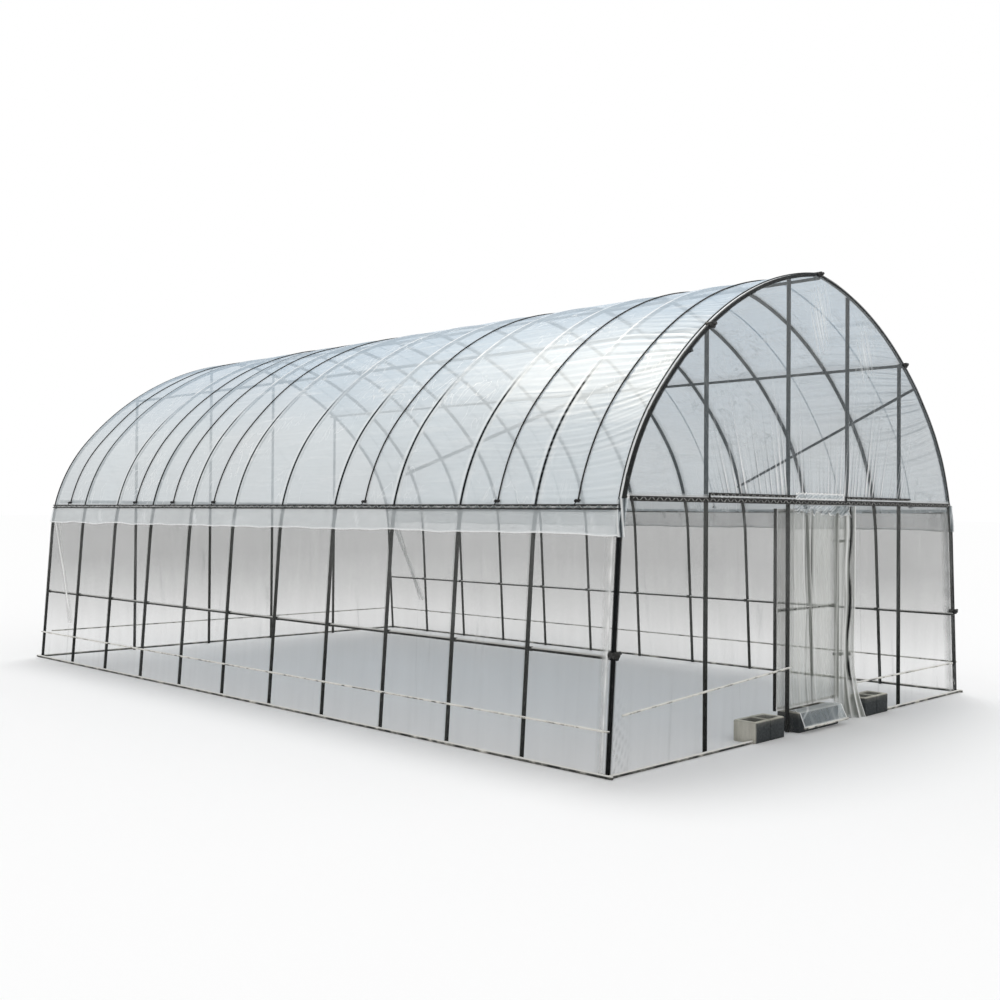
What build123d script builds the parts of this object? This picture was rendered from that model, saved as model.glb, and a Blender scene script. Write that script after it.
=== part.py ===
from build123d import *
import os
from math import acos, atan2, cos, degrees, radians, sin, sqrt, tan

# Main sizes of the tunnel, between tube centres
foot_width = 5000.0
tunnel_length = 8000.0
ridge_height = 3460.0
hoop_count = 12

# Shape of one hoop: a leaning leg, a tight shoulder arc and a wide roof arc that meets its twin in a low peak
leg_height = 1400.0
leg_lean = 3.8
break_slope = 50.0
ridge_slope = 7.0

# Tube stock, film and the room left between pieces
hoop_thickness = 28.0
post_diameter = 32.0
rail_diameter = 25.0
skirt_diameter = 16.0
tube_sides = 8
film_thickness = 2.0
seat_gap = 0.3
moving_gap = 5.0
cut_overrun = 60.0

# Long rails: where each one crosses the hoop, and how far it stands out past the end hoops
rail_overhang = 60.0
purlin_slope = 35.0
mid_rail_height = 720.0
skirt_height = 280.0

# Film lock channels, a lipped C section that holds the film with a spring wire
channel_width = 34.0
channel_depth = 12.0
channel_wall = 2.0
channel_mouth = 16.0
channel_slope = 77.5
end_channel_step = 60.0
end_channel_inset = 37.0
flap_gap = 0.6
flap_top_slope = 76.5
flap_foot_slope = 84.0

# Front and rear walls
outer_post_x = 1430.0
left_jamb_x = -370.0
right_jamb_x = 525.0
rear_post_x = 450.0
short_channel_length = 1120.0
left_short_channel_x = -905.0
right_short_channel_x = 975.0
skirt_corner_inset = 85.0
left_skirt_end = -420.0
left_skirt_rise = 120.0
left_skirt_height = 370.0
right_skirt_end = 590.0

# Diagonal wind braces of the first bays
brace_bays = 3
brace_top_slope = 40.5
brace_foot_slope = 68.0
brace_inset = 0.2

# Door leaf, hung on the inside of the right jamb
leaf_width = 930.0
hinge_setback = 82.0
leaf_bottom = 165.0
leaf_head_room = 50.0
leaf_mid_height = 905.0
leaf_film_margin = 42.0
hinge_heights = (500.0, 1400.0)
hinge_thickness = 20.0
hinge_wall = 8.0
hinge_clearance = 0.5

# Hollow concrete blocks of the sill, in line with the front base rails
sill_reach = 57.0
block_length = 390.0
middle_block_length = 600.0
block_depth = 190.0
block_height = 150.0
block_wall = 32.0
left_block_x = -740.0
middle_block_x = -50.0
right_block_x = 875.0

# Ropes that press the roof film down between hoops, counted in bays from the front
rope_diameter = 8.0
rope_bays = (1, 2, 4, 7, 8, 9, 11)
rope_end_slope = 72.0
rope_runs = 10

# Hoop geometry worked out from the sizes above, seen along the tunnel with x across and z up
half_width = foot_width / 2
half_length = tunnel_length / 2
bay_length = tunnel_length / (hoop_count - 1)
leg_slope = 90.0 - leg_lean
lean = radians(leg_lean)
bend = radians(break_slope)
peak = radians(ridge_slope)
leg_top_x = half_width - leg_height * tan(lean)
arch_rise = ridge_height - leg_height

# Radii of the two arcs: together they cover the width and the height from the leg's top to the ridge
roof_run_share = sin(bend) - sin(peak)
roof_drop_share = cos(peak) - cos(bend)
shoulder_run_share = cos(lean) - sin(bend)
shoulder_drop_share = cos(bend) - sin(lean)
spread_share = roof_run_share * shoulder_drop_share - shoulder_run_share * roof_drop_share
roof_radius = (leg_top_x * shoulder_drop_share - arch_rise * shoulder_run_share) / spread_share
shoulder_radius = (arch_rise * roof_run_share - leg_top_x * roof_drop_share) / spread_share
roof_x = -roof_radius * sin(peak)
roof_z = ridge_height - roof_radius * cos(peak)
shoulder_x = leg_top_x - shoulder_radius * cos(lean)
shoulder_z = leg_height - shoulder_radius * sin(lean)

hoop_half = hoop_thickness / 2
post_radius = post_diameter / 2
rail_radius = rail_diameter / 2
skirt_radius = skirt_diameter / 2

# Layers outside the hoops, as distances from the tube centre
film_inner = hoop_half + seat_gap
film_outer = film_inner + film_thickness
channel_inner = film_outer + seat_gap
channel_outer = channel_inner + channel_depth
flap_inner = channel_outer + flap_gap
flap_outer = flap_inner + film_thickness
under_hoop = -(hoop_half + seat_gap + rail_radius)

# Layers of an end wall, as distances outwards from the end hoop's centre
end_film_inner = hoop_half + seat_gap
end_film_outer = end_film_inner + film_thickness
end_channel_back = end_film_outer + seat_gap
end_skirt_centre = end_film_outer + seat_gap + skirt_radius
end_base_centre = end_film_outer + seat_gap + rail_radius
post_setback = hoop_half + seat_gap + post_radius


def arch(slope, offset):
    """Point on the right half of the hoop where it slopes by this angle, moved outwards by offset."""
    turn = radians(slope)
    if slope > break_slope:
        reach = shoulder_radius + offset
        return (shoulder_x + reach * sin(turn), shoulder_z + reach * cos(turn))
    reach = roof_radius + offset
    return (roof_x + reach * sin(turn), roof_z + reach * cos(turn))


def leg(height, offset):
    """Point on the right leg at this height, moved outwards by offset."""
    return (half_width - height * tan(lean) + offset / cos(lean), height)


def leg_top(offset):
    """Point where the leg runs into the shoulder arc."""
    return arch(leg_slope, offset)


def ridge(offset):
    """Point where the two halves meet on the centre line."""
    return (0, roof_z + sqrt((roof_radius + offset) ** 2 - roof_x**2))


def slope_at(height):
    """Slope of the shoulder arc at this height."""
    return degrees(acos((height - shoulder_z) / shoulder_radius))


def roof_height(x, offset):
    """Height of the roof arc over a place between the legs, moved outwards by offset."""
    return roof_z + sqrt((roof_radius + offset) ** 2 - (abs(x) - roof_x) ** 2)


def shoulder_arc(slope_a, slope_b, offset):
    """Arc of the shoulder between two slopes."""
    ThreePointArc(arch(slope_a, offset), arch((slope_a + slope_b) / 2, offset), arch(slope_b, offset))


def half_arch(low_slope, offset):
    """Shoulder arc from a slope up to the roof arc, and the roof arc on to the ridge."""
    shoulder_arc(low_slope, break_slope, offset)
    ThreePointArc(arch(break_slope, offset), arch((break_slope + ridge_slope) / 2, offset), ridge(offset))


def past_ridge(offset):
    """Point a little beyond the ridge, straight on from the roof arc."""
    return (-cut_overrun * cos(peak), ridge(offset)[1] + cut_overrun * sin(peak))


def left_of(place):
    """The same place on the left side of the tunnel."""
    return (-place[0], place[1])


def finish(piece, name):
    """Name a piece and write it."""
    piece.label = name
    export_step(piece, f"parts/{name}.step")


def finish_set(pieces, name):
    """Write like pieces that stand apart as one node."""
    with BuildPart() as whole_set:
        for piece in pieces:
            add(piece)
    finish(whole_set.part, name)


os.makedirs("parts", exist_ok=True)

# Hoops: a square bar carried up the leg and over to the ridge, mitred there with its mirror image
for number in range(hoop_count):
    hoop_y = number * bay_length - half_length
    hoop_name = f"hoop_{number + 1:02d}"
    with BuildPart() as hoop:
        with BuildLine(Plane.XZ.offset(-hoop_y)) as half_path:
            Line(leg(-cut_overrun, 0), leg_top(0))
            half_arch(leg_slope, 0)
            Line(ridge(0), past_ridge(0))
        with BuildSketch(Plane(half_path.line @ 0, x_dir=(0, 1, 0), z_dir=half_path.line % 0)):
            Rectangle(hoop_thickness, hoop_thickness)
        sweep(path=half_path.line)
        split(bisect_by=Plane.XY, keep=Keep.TOP)
        split(bisect_by=Plane.YZ, keep=Keep.TOP)
        mirror(about=Plane.YZ)
    finish(hoop.part, hoop_name)


def long_rail(place, radius, reach):
    """Straight tube along the tunnel through a place across it."""
    with BuildPart() as rail:
        with BuildSketch(Plane.XZ):
            with Locations(place):
                RegularPolygon(radius, tube_sides)
        extrude(amount=reach, both=True)
    return rail.part


def rail_pair(place, radius, reach):
    """The same rail on the left and on the right side."""
    return [long_rail(left_of(place), radius, reach), long_rail(place, radius, reach)]


# Purlins and mid rails lie under the hoops and end level with the end hoops
inner_reach = half_length + hoop_half
purlin_place = arch(purlin_slope, under_hoop)
mid_rail_place = leg(mid_rail_height, under_hoop)
finish(long_rail(ridge(under_hoop), rail_radius, inner_reach), "ridge_purlin")
finish_set(rail_pair(purlin_place, rail_radius, inner_reach), "side_purlins")
finish_set(rail_pair(mid_rail_place, rail_radius, inner_reach), "mid_rails")

# Roof film: one sheet over the hoops from lock channel to lock channel
seam_turn = degrees(seat_gap / shoulder_radius)
roof_edge_slope = channel_slope - seam_turn
with BuildPart() as roof_film:
    with BuildSketch(Plane.XZ):
        with BuildLine():
            half_arch(roof_edge_slope, film_outer)
            half_arch(roof_edge_slope, film_inner)
            Line(ridge(film_outer), ridge(film_inner))
            Line(arch(roof_edge_slope, film_inner), arch(roof_edge_slope, film_outer))
        make_face()
        mirror(about=Plane.YZ)
    extrude(amount=inner_reach, both=True)
finish(roof_film.part, "roof_film")


def mirrored(right_part):
    """Mirror image of a right-hand piece, for the left side."""
    with BuildPart() as left_part:
        mirror(right_part, about=Plane.YZ)
    return left_part.part


# Side films: from the lock channel down to the ground
with BuildPart() as side_film:
    with BuildSketch(Plane.XZ):
        with BuildLine():
            shoulder_arc(channel_slope, leg_slope, film_outer)
            Line(leg_top(film_outer), leg(0, film_outer))
            Line(leg(0, film_outer), leg(0, film_inner))
            Line(leg(0, film_inner), leg_top(film_inner))
            shoulder_arc(leg_slope, channel_slope, film_inner)
            Line(arch(channel_slope, film_inner), arch(channel_slope, film_outer))
        make_face()
    extrude(amount=inner_reach, both=True)
finish(side_film.part, "right_side_film")
finish(mirrored(side_film.part), "left_side_film")

# Loose lower edge of the roof film, which hangs over the lock channel
with BuildPart() as flap:
    with BuildSketch(Plane.XZ):
        with BuildLine():
            shoulder_arc(flap_top_slope, flap_foot_slope, flap_outer)
            Line(arch(flap_foot_slope, flap_outer), arch(flap_foot_slope, flap_inner))
            shoulder_arc(flap_foot_slope, flap_top_slope, flap_inner)
            Line(arch(flap_top_slope, flap_inner), arch(flap_top_slope, flap_outer))
        make_face()
    extrude(amount=inner_reach, both=True)
finish_set([mirrored(flap.part), flap.part], "hem_flaps")


def channel_bar(plane, length):
    """Lipped channel along the plane's normal, with its mouth towards the plane's x axis."""
    with BuildPart() as channel:
        with BuildSketch(plane):
            Rectangle(channel_depth, channel_width, align=(Align.MIN, Align.CENTER))
            with Locations((channel_wall, 0)):
                Rectangle(
                    channel_depth - 2 * channel_wall,
                    channel_width - 2 * channel_wall,
                    align=(Align.MIN, Align.CENTER),
                    mode=Mode.SUBTRACT,
                )
            with Locations((channel_depth - channel_wall, 0)):
                Rectangle(
                    channel_wall, channel_mouth, align=(Align.MIN, Align.CENTER), mode=Mode.SUBTRACT
                )
        extrude(amount=length / 2, both=True)
    return channel.part


# Side lock channels, laid on the film along the shoulder
channel_turn = radians(channel_slope)
channel_x, channel_z = arch(channel_slope, channel_inner)
side_channel_plane = Plane(
    (channel_x, 0, channel_z), x_dir=(sin(channel_turn), 0, cos(channel_turn)), z_dir=(0, 1, 0)
)
side_channel = channel_bar(side_channel_plane, 2 * inner_reach)
finish_set([mirrored(side_channel), side_channel], "side_lock_channels")

# End wall posts: they stand behind the end hoop and stop under the roof film
front_post_y = post_setback - half_length
rear_post_y = half_length - post_setback


def post(x, y):
    """Upright tube beside the end hoop, with its top edge just under the roof film."""
    height = roof_height(abs(x) + post_radius, film_inner) - seat_gap
    with BuildPart() as upright:
        with BuildSketch(Plane((x, y, 0))):
            RegularPolygon(post_radius, tube_sides)
        extrude(amount=height)
    return upright.part


finish(post(-outer_post_x, front_post_y), "front_post_left")
finish(post(outer_post_x, front_post_y), "front_post_right")
finish(post(left_jamb_x, front_post_y), "door_jamb_left")
finish(post(right_jamb_x, front_post_y), "door_jamb_right")
rear_post_places = (-outer_post_x, -rear_post_x, rear_post_x, outer_post_x)
finish_set([post(x, rear_post_y) for x in rear_post_places], "rear_posts")

# End wall lock channels, a step above the side ones, with two short ones above the front one
end_channel_height = arch(channel_slope, 0)[1] + end_channel_step
end_channel_reach = arch(slope_at(end_channel_height), 0)[0] - end_channel_inset
front_channel_y = -half_length - end_channel_back
rear_channel_y = half_length + end_channel_back


def end_channel(x, y, z, length, facing):
    return channel_bar(Plane((x, y, z), x_dir=(0, facing, 0), z_dir=(1, 0, 0)), length)


end_channel_length = 2 * end_channel_reach
short_channel_height = end_channel_height + channel_width + seat_gap
finish(end_channel(0, front_channel_y, end_channel_height, end_channel_length, -1), "front_lock_channel")
finish(end_channel(0, rear_channel_y, end_channel_height, end_channel_length, 1), "rear_lock_channel")
short_channels = [
    end_channel(x, front_channel_y, short_channel_height, short_channel_length, -1)
    for x in (left_short_channel_x, right_short_channel_x)
]
finish_set(short_channels, "short_channels")


def wall_film(name, film_y, low_x, high_x, low_z, high_z, block_x=None):
    """Flat sheet inside the hoop's outline, cut to a range across and a range up, and round a sill block."""
    with BuildPart() as sheet:
        with BuildSketch(Plane.XZ.offset(-film_y)):
            with BuildLine():
                Line((0, 0), leg(0, hoop_half))
                Line(leg(0, hoop_half), leg_top(hoop_half))
                half_arch(leg_slope, hoop_half)
                Line(ridge(hoop_half), (0, 0))
            make_face()
            mirror(about=Plane.YZ)
            with Locations((low_x, low_z)):
                Rectangle(high_x - low_x, high_z - low_z, align=(Align.MIN, Align.MIN), mode=Mode.INTERSECT)
            if block_x is not None:
                with Locations((block_x, 0)):
                    Rectangle(2 * block_room, block_head, align=(Align.CENTER, Align.MIN), mode=Mode.SUBTRACT)
        extrude(amount=film_thickness)
    finish(sheet.part, name)


# End wall films: split above the front channel and beside the doorway
front_film_y = -half_length - end_film_inner
rear_film_y = half_length + end_film_outer
film_seam = seat_gap / 2
block_room = block_length / 2 + seat_gap
block_head = block_height + seat_gap
film_edge = half_width + hoop_half
film_peak = ridge_height + hoop_thickness
wall_film("front_gable_film", front_film_y, -film_edge, film_edge, end_channel_height + film_seam, film_peak)
lower_film = (0, end_channel_height - film_seam)
wall_film("front_film_left", front_film_y, -film_edge, left_jamb_x + post_radius, *lower_film, left_block_x)
wall_film("front_film_right", front_film_y, right_jamb_x - post_radius, film_edge, *lower_film, right_block_x)
wall_film("rear_film", rear_film_y, -film_edge, film_edge, 0, film_peak)

# Base rails: tubes on the ground outside the film, all the way round but for the sill
front_base_y = -half_length - end_base_centre
rear_base_y = half_length + end_base_centre
base_place = leg(rail_radius, film_outer + seat_gap + rail_radius)
base_corner = base_place[0] - rail_radius - seat_gap
base_reach = half_length + rail_overhang
left_rail_end = left_block_x - block_room
right_rail_end = right_block_x + block_room


def across(low, high, y, radius):
    """Straight tube across an end wall between two places, each given as x and z."""
    axis = Vector(high[0] - low[0], 0, high[1] - low[1])
    with BuildPart() as tube:
        with BuildSketch(Plane((low[0], y, low[1]), x_dir=(0, 1, 0), z_dir=axis)):
            RegularPolygon(radius, tube_sides)
        extrude(amount=axis.length)
    return tube.part


front_base_rails = [
    across((-base_corner, rail_radius), (left_rail_end, rail_radius), front_base_y, rail_radius),
    across((right_rail_end, rail_radius), (base_corner, rail_radius), front_base_y, rail_radius),
]
rear_base_rail = across((-base_corner, rail_radius), (base_corner, rail_radius), rear_base_y, rail_radius)
finish_set(rail_pair(base_place, rail_radius, base_reach), "side_base_rails")
finish_set(front_base_rails, "front_base_rails")
finish(rear_base_rail, "rear_base_rail")

# Skirt rails: thin tubes low on the film, with the front left one slanting up to the door
front_skirt_y = -half_length - end_skirt_centre
rear_skirt_y = half_length + end_skirt_centre
skirt_place = leg(skirt_height, film_outer + seat_gap + skirt_radius)
skirt_corner_x = leg(left_skirt_height, 0)[0] - skirt_corner_inset
left_skirt_low = (-skirt_corner_x, left_skirt_height)
left_skirt_high = (left_skirt_end, left_skirt_height + left_skirt_rise)
right_skirt_places = ((right_skirt_end, skirt_height), (skirt_corner_x, skirt_height))
rear_skirt_places = ((-skirt_corner_x, skirt_height), (skirt_corner_x, skirt_height))
end_skirt_rails = [
    across(left_skirt_low, left_skirt_high, front_skirt_y, skirt_radius),
    across(*right_skirt_places, front_skirt_y, skirt_radius),
    across(*rear_skirt_places, rear_skirt_y, skirt_radius),
]
finish_set(rail_pair(skirt_place, skirt_radius, inner_reach), "side_skirt_rails")
finish_set(end_skirt_rails, "end_skirt_rails")

# Wind braces: straight tubes from the front hoop's haunch down to a hoop further back
brace_x, brace_z = arch(brace_top_slope, under_hoop - brace_inset)
foot_x, foot_z = arch(brace_foot_slope, under_hoop - brace_inset)
brace_run = Vector(foot_x - brace_x, brace_bays * bay_length, foot_z - brace_z)
with BuildPart() as brace:
    with BuildSketch(Plane((brace_x, -half_length, brace_z), z_dir=brace_run)):
        Circle(rail_radius)
    extrude(amount=brace_run.length)
finish_set([mirrored(brace.part), brace.part], "wind_braces")

# Door leaf: two stiles and three rails with a film over their outer face
hinge_x = right_jamb_x - hinge_setback
free_x = hinge_x - leaf_width
leaf_y = front_post_y + post_radius + moving_gap + film_thickness + seat_gap + rail_radius
leaf_top = end_channel_height - leaf_head_room
with BuildPart() as stiles:
    with BuildSketch(Plane.XY.offset(leaf_bottom)):
        with Locations((hinge_x, leaf_y), (free_x, leaf_y)):
            RegularPolygon(rail_radius, tube_sides)
    extrude(amount=leaf_top - leaf_bottom)
finish(stiles.part, "door_stiles")

leaf_rail_length = leaf_width - 2 * (rail_radius + seat_gap)
leaf_centre_x = hinge_x - leaf_width / 2
leaf_rail_heights = (leaf_bottom + rail_radius, leaf_mid_height, leaf_top - rail_radius)
with BuildPart() as leaf_rails:
    for height in leaf_rail_heights:
        with BuildSketch(Plane((leaf_centre_x, leaf_y, height), x_dir=(0, 1, 0), z_dir=(1, 0, 0))):
            RegularPolygon(rail_radius, tube_sides)
    extrude(amount=leaf_rail_length / 2, both=True)
finish(leaf_rails.part, "door_rails")

leaf_film_y = leaf_y - rail_radius - seat_gap
with BuildPart() as door_film:
    with BuildSketch(Plane.XZ.offset(-leaf_film_y)):
        with Locations((free_x, leaf_bottom)):
            Rectangle(leaf_width - leaf_film_margin, leaf_top - leaf_bottom, align=(Align.MIN, Align.MIN))
    extrude(amount=film_thickness)
finish(door_film.part, "door_film")

# Door hinges: flat straps that grip the jamb and carry the stile in a loop
hinge_reach = Vector(right_jamb_x - hinge_x, front_post_y - leaf_y).length
hinge_turn = degrees(atan2(front_post_y - leaf_y, right_jamb_x - hinge_x))
hinge_middle = ((right_jamb_x + hinge_x) / 2, (front_post_y + leaf_y) / 2)
hinge_width = 2 * (post_radius + hinge_wall)
loop_radius = rail_radius + hinge_clearance
half_side_turn = 180 / tube_sides
with BuildPart() as hinges:
    for height in hinge_heights:
        with BuildSketch(Plane.XY.offset(height)):
            with Locations(hinge_middle):
                Rectangle(hinge_reach + hinge_width, hinge_width, rotation=hinge_turn)
            with Locations((right_jamb_x, front_post_y)):
                RegularPolygon(post_radius + seat_gap, tube_sides, mode=Mode.SUBTRACT)
            with Locations((hinge_x, leaf_y)):
                RegularPolygon(loop_radius, tube_sides, False, half_side_turn, mode=Mode.SUBTRACT)
    extrude(amount=hinge_thickness)
finish(hinges.part, "door_hinges")

# Sill: three hollow blocks at the foot of the front wall, and the film that hangs in front of the middle one
block_front = -half_length - sill_reach
block_middle_y = block_front + block_depth / 2
sill_row = (
    (left_block_x, block_length),
    (middle_block_x, middle_block_length),
    (right_block_x, block_length),
)
with BuildPart() as sill_blocks:
    for block_x, length in sill_row:
        pocket_length = (length - 3 * block_wall) / 2
        with BuildSketch(Plane((block_x, block_middle_y, 0))):
            Rectangle(length, block_depth)
        extrude(amount=block_height)
        with BuildSketch(Plane((block_x, block_middle_y, block_wall))):
            with GridLocations(pocket_length + block_wall, 0, 2, 1):
                Rectangle(pocket_length, block_depth - 2 * block_wall)
        extrude(amount=block_height, mode=Mode.SUBTRACT)
finish(sill_blocks.part, "sill_blocks")

with BuildPart() as sill_flap:
    with BuildSketch(Plane.XZ.offset(seat_gap - block_front)):
        with Locations((middle_block_x, 0)):
            Rectangle(middle_block_length, block_height, align=(Align.CENTER, Align.MIN))
    extrude(amount=film_thickness)
finish(sill_flap.part, "sill_flap")

# Press ropes: each goes over the roof film in the middle of a bay, in short straight runs on the film
run_turn = (rope_end_slope - ridge_slope) / rope_runs
rope_lift = (roof_radius + film_outer) * (1 / cos(radians(run_turn / 2)) - 1)
rope_inner = film_outer + seat_gap + rope_lift
rope_outer = rope_inner + rope_diameter
rope_slopes = [rope_end_slope - run * run_turn for run in range(rope_runs)]
with BuildPart() as ropes:
    for bay in rope_bays:
        rope_y = (bay - 1 / 2) * bay_length - half_length
        with BuildSketch(Plane.XZ.offset(-rope_y - rope_diameter / 2)):
            with BuildLine():
                Polyline(*[arch(slope, rope_outer) for slope in rope_slopes], ridge(rope_outer))
                Polyline(*[arch(slope, rope_inner) for slope in rope_slopes], ridge(rope_inner))
                Line(ridge(rope_outer), ridge(rope_inner))
                Line(arch(rope_end_slope, rope_inner), arch(rope_end_slope, rope_outer))
            make_face()
            mirror(about=Plane.YZ)
    extrude(amount=rope_diameter)
finish(ropes.part, "press_ropes")
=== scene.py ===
# %% [markdown]
# # A polytunnel greenhouse
# A polytunnel is a row of bent steel hoops under clear film. The solids come from CAD and stay where they
# are. Here every tube, rope, channel and sheet of film gets the shape and finish that the eye sees. We
# load the frame first, because all later pieces are measured from it.

# %% The frame
import math
import bpy
import numpy as np
from mathutils import Matrix, Vector


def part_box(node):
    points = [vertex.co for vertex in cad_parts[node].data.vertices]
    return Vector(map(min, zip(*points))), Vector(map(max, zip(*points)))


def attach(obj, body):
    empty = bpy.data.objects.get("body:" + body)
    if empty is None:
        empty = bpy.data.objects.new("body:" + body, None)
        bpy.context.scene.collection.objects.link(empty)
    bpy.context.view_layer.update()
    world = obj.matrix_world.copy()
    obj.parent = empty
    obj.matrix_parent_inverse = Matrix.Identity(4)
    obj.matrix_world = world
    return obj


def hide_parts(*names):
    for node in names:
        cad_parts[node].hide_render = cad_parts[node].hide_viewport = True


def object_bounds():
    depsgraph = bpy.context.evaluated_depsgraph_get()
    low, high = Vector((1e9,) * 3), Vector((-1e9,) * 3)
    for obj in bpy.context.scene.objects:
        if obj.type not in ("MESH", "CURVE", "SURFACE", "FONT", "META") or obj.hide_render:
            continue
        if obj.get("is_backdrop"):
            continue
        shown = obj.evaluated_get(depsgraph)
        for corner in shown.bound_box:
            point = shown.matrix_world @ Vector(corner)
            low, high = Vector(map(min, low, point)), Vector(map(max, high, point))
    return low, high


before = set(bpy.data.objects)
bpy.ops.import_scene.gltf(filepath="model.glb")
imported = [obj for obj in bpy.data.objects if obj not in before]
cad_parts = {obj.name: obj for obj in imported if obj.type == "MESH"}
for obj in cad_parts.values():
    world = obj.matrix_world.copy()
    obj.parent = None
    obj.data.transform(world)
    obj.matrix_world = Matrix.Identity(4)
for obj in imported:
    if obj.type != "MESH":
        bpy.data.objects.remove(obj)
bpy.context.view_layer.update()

# %% [markdown]
# ## The curve that everything follows
# One hoop is a leaning leg, a tight shoulder arc and a wide roof arc that meets its twin in a low peak.
# Film, ropes, channels and rails all lie on that curve or a little off it, so one function gives any point
# of it: a distance along the tube from the foot, and an offset outwards. With numpy it takes whole arrays
# at once.

# %% Hoop curve
HALF_WIDTH, HALF_LENGTH, RIDGE, LEG_HEIGHT = 2.5, 4.0, 3.46, 1.4
LEAN, BEND, PEAK = math.radians(3.8), math.radians(50.0), math.radians(7.0)
BAYS = 11
BAY = 2 * HALF_LENGTH / BAYS
LEG_SLOPE = math.pi / 2 - LEAN
leg_top_x = HALF_WIDTH - LEG_HEIGHT * math.tan(LEAN)
arch_rise = RIDGE - LEG_HEIGHT
roof_run, roof_drop = math.sin(BEND) - math.sin(PEAK), math.cos(PEAK) - math.cos(BEND)
side_run, side_drop = math.cos(LEAN) - math.sin(BEND), math.cos(BEND) - math.sin(LEAN)
spread = roof_run * side_drop - side_run * roof_drop
ROOF_R = (leg_top_x * side_drop - arch_rise * side_run) / spread
SHOULDER_R = (arch_rise * roof_run - leg_top_x * roof_drop) / spread
LEG_LONG = LEG_HEIGHT / math.cos(LEAN)
SHOULDER_LONG = SHOULDER_R * (LEG_SLOPE - BEND)
HALF_HOOP = LEG_LONG + SHOULDER_LONG + ROOF_R * (BEND - PEAK)


def along(slope):
    """Distance from the foot to the place where the hoop slopes by this angle in degrees: leg, then angle
    turned times radius on each arc."""
    slope = math.radians(slope)
    if slope > BEND:
        return LEG_LONG + SHOULDER_R * (LEG_SLOPE - slope)
    return LEG_LONG + SHOULDER_LONG + ROOF_R * (BEND - slope)


def hoop(t, offset=0.0):
    """x and z of the hoop: t runs from the left foot (0) over the ridge to the right foot. The point goes
    up the leg, round the shoulder circle and round the roof circle, plus offset along the outward
    normal."""
    t = np.asarray(t, float)
    s = HALF_HOOP - np.abs(t - HALF_HOOP)
    stretches = [s < LEG_LONG, s < LEG_LONG + SHOULDER_LONG]
    slope = np.select(
        stretches,
        [LEG_SLOPE, LEG_SLOPE - (s - LEG_LONG) / SHOULDER_R],
        BEND - (s - LEG_LONG - SHOULDER_LONG) / ROOF_R,
    )
    x = np.select(
        stretches,
        [HALF_WIDTH - s * math.sin(LEAN), leg_top_x + SHOULDER_R * (np.sin(slope) - math.cos(LEAN))],
        ROOF_R * (np.sin(slope) - math.sin(PEAK)),
    )
    z = np.select(
        stretches,
        [s * math.cos(LEAN), LEG_HEIGHT + SHOULDER_R * (np.cos(slope) - math.sin(LEAN))],
        RIDGE + ROOF_R * (np.cos(slope) - math.cos(PEAK)),
    )
    x, z = x + offset * np.sin(slope), z + offset * np.cos(slope)
    return np.where(t < HALF_HOOP, -x, x), z


HOOP_Y = -HALF_LENGTH + BAY * np.arange(BAYS + 1)
CHANNEL_SLOPE = 77.5
CHANNEL_S = along(CHANNEL_SLOPE)
print(f"roof radius {ROOF_R:.3f} m, shoulder radius {SHOULDER_R:.3f} m, tube length {2 * HALF_HOOP:.2f} m")

# %% [markdown]
# ## From arrays to pieces
# A tube is a ring carried along a path and a sheet is a grid of points. Both end as a list of corners and
# a list of four-cornered faces. One helper turns them into an object that rides on its body and stands for
# its CAD nodes. Blender's own Skin or Curve tools could make tubes too, but arrays keep every size in sight.

# %% Mesh helpers


def xyz(x, y, z):
    """Points from x, y and z, each a number or an array of the same grid."""
    return np.stack(np.broadcast_arrays(x, y, z), -1)


def grid_faces(rows, cols, wrap=False):
    """Corner numbers of the faces between neighbouring rows and columns of a grid."""
    i = np.arange(rows - 1)[:, None] * cols
    j = np.arange(cols if wrap else cols - 1)[None]
    k = (j + 1) % cols
    return np.stack([i + j, i + k, i + cols + k, i + cols + j], -1).reshape(-1, 4)


def put(name, points, faces, material, slot, body="frame", stands_for=()):
    """Make a mesh object from corners and faces, and tie it to the part."""
    mesh = bpy.data.meshes.new(name)
    mesh.from_pydata(np.asarray(points, float).tolist(), [], faces)
    mesh.polygons.foreach_set("use_smooth", np.full(len(mesh.polygons), True))
    mesh.materials.append(material)
    mesh.update()
    piece = bpy.data.objects.new(name, mesh)
    bpy.context.scene.collection.objects.link(piece)
    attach(piece, body)
    if stands_for:
        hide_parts(*stands_for)
    print(name, len(mesh.polygons), "faces")
    return piece


def tube(path, radius, sides, across):
    """Ring of radius carried along a path. At each point the ring lies square to the path's direction,
    turned so that its first corner points towards across. Both ends are closed with a face."""
    path = np.asarray(path, float)
    run = np.gradient(path, axis=0)
    run /= np.linalg.norm(run, axis=1)[:, None]
    across = np.asarray(across, float)
    first = across - (run @ across)[:, None] * run
    first /= np.linalg.norm(first, axis=1)[:, None]
    second = np.cross(run, first)
    turn = np.linspace(0, 2 * math.pi, sides, endpoint=False)
    radius = np.broadcast_to(np.asarray(radius, float), (len(path),))
    ring = np.cos(turn)[:, None] * first[:, None] + np.sin(turn)[:, None] * second[:, None]
    points = (path[:, None] + radius[:, None, None] * ring).reshape(-1, 3)
    last = (len(path) - 1) * sides
    ends = [list(range(sides - 1, -1, -1)), list(range(last, last + sides))]
    return points, grid_faces(len(path), sides, True).tolist() + ends


def gathered(shapes):
    """Several (points, faces) shapes as one."""
    points, faces, count = [], [], 0
    for part_points, part_faces in shapes:
        points.append(part_points)
        faces += [[corner + count for corner in face] for face in part_faces]
        count += len(part_points)
    return np.concatenate(points), faces


# %% [markdown]
# Film is never quite flat, and no two wrinkles are alike. A sum of sines with mixed lengths gives such a
# line. A noise texture with a Displace modifier could do it too, but a function can be read at any place,
# so that two pieces share one wrinkle. The seed is fixed, so that each run gives the same ones.

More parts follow.
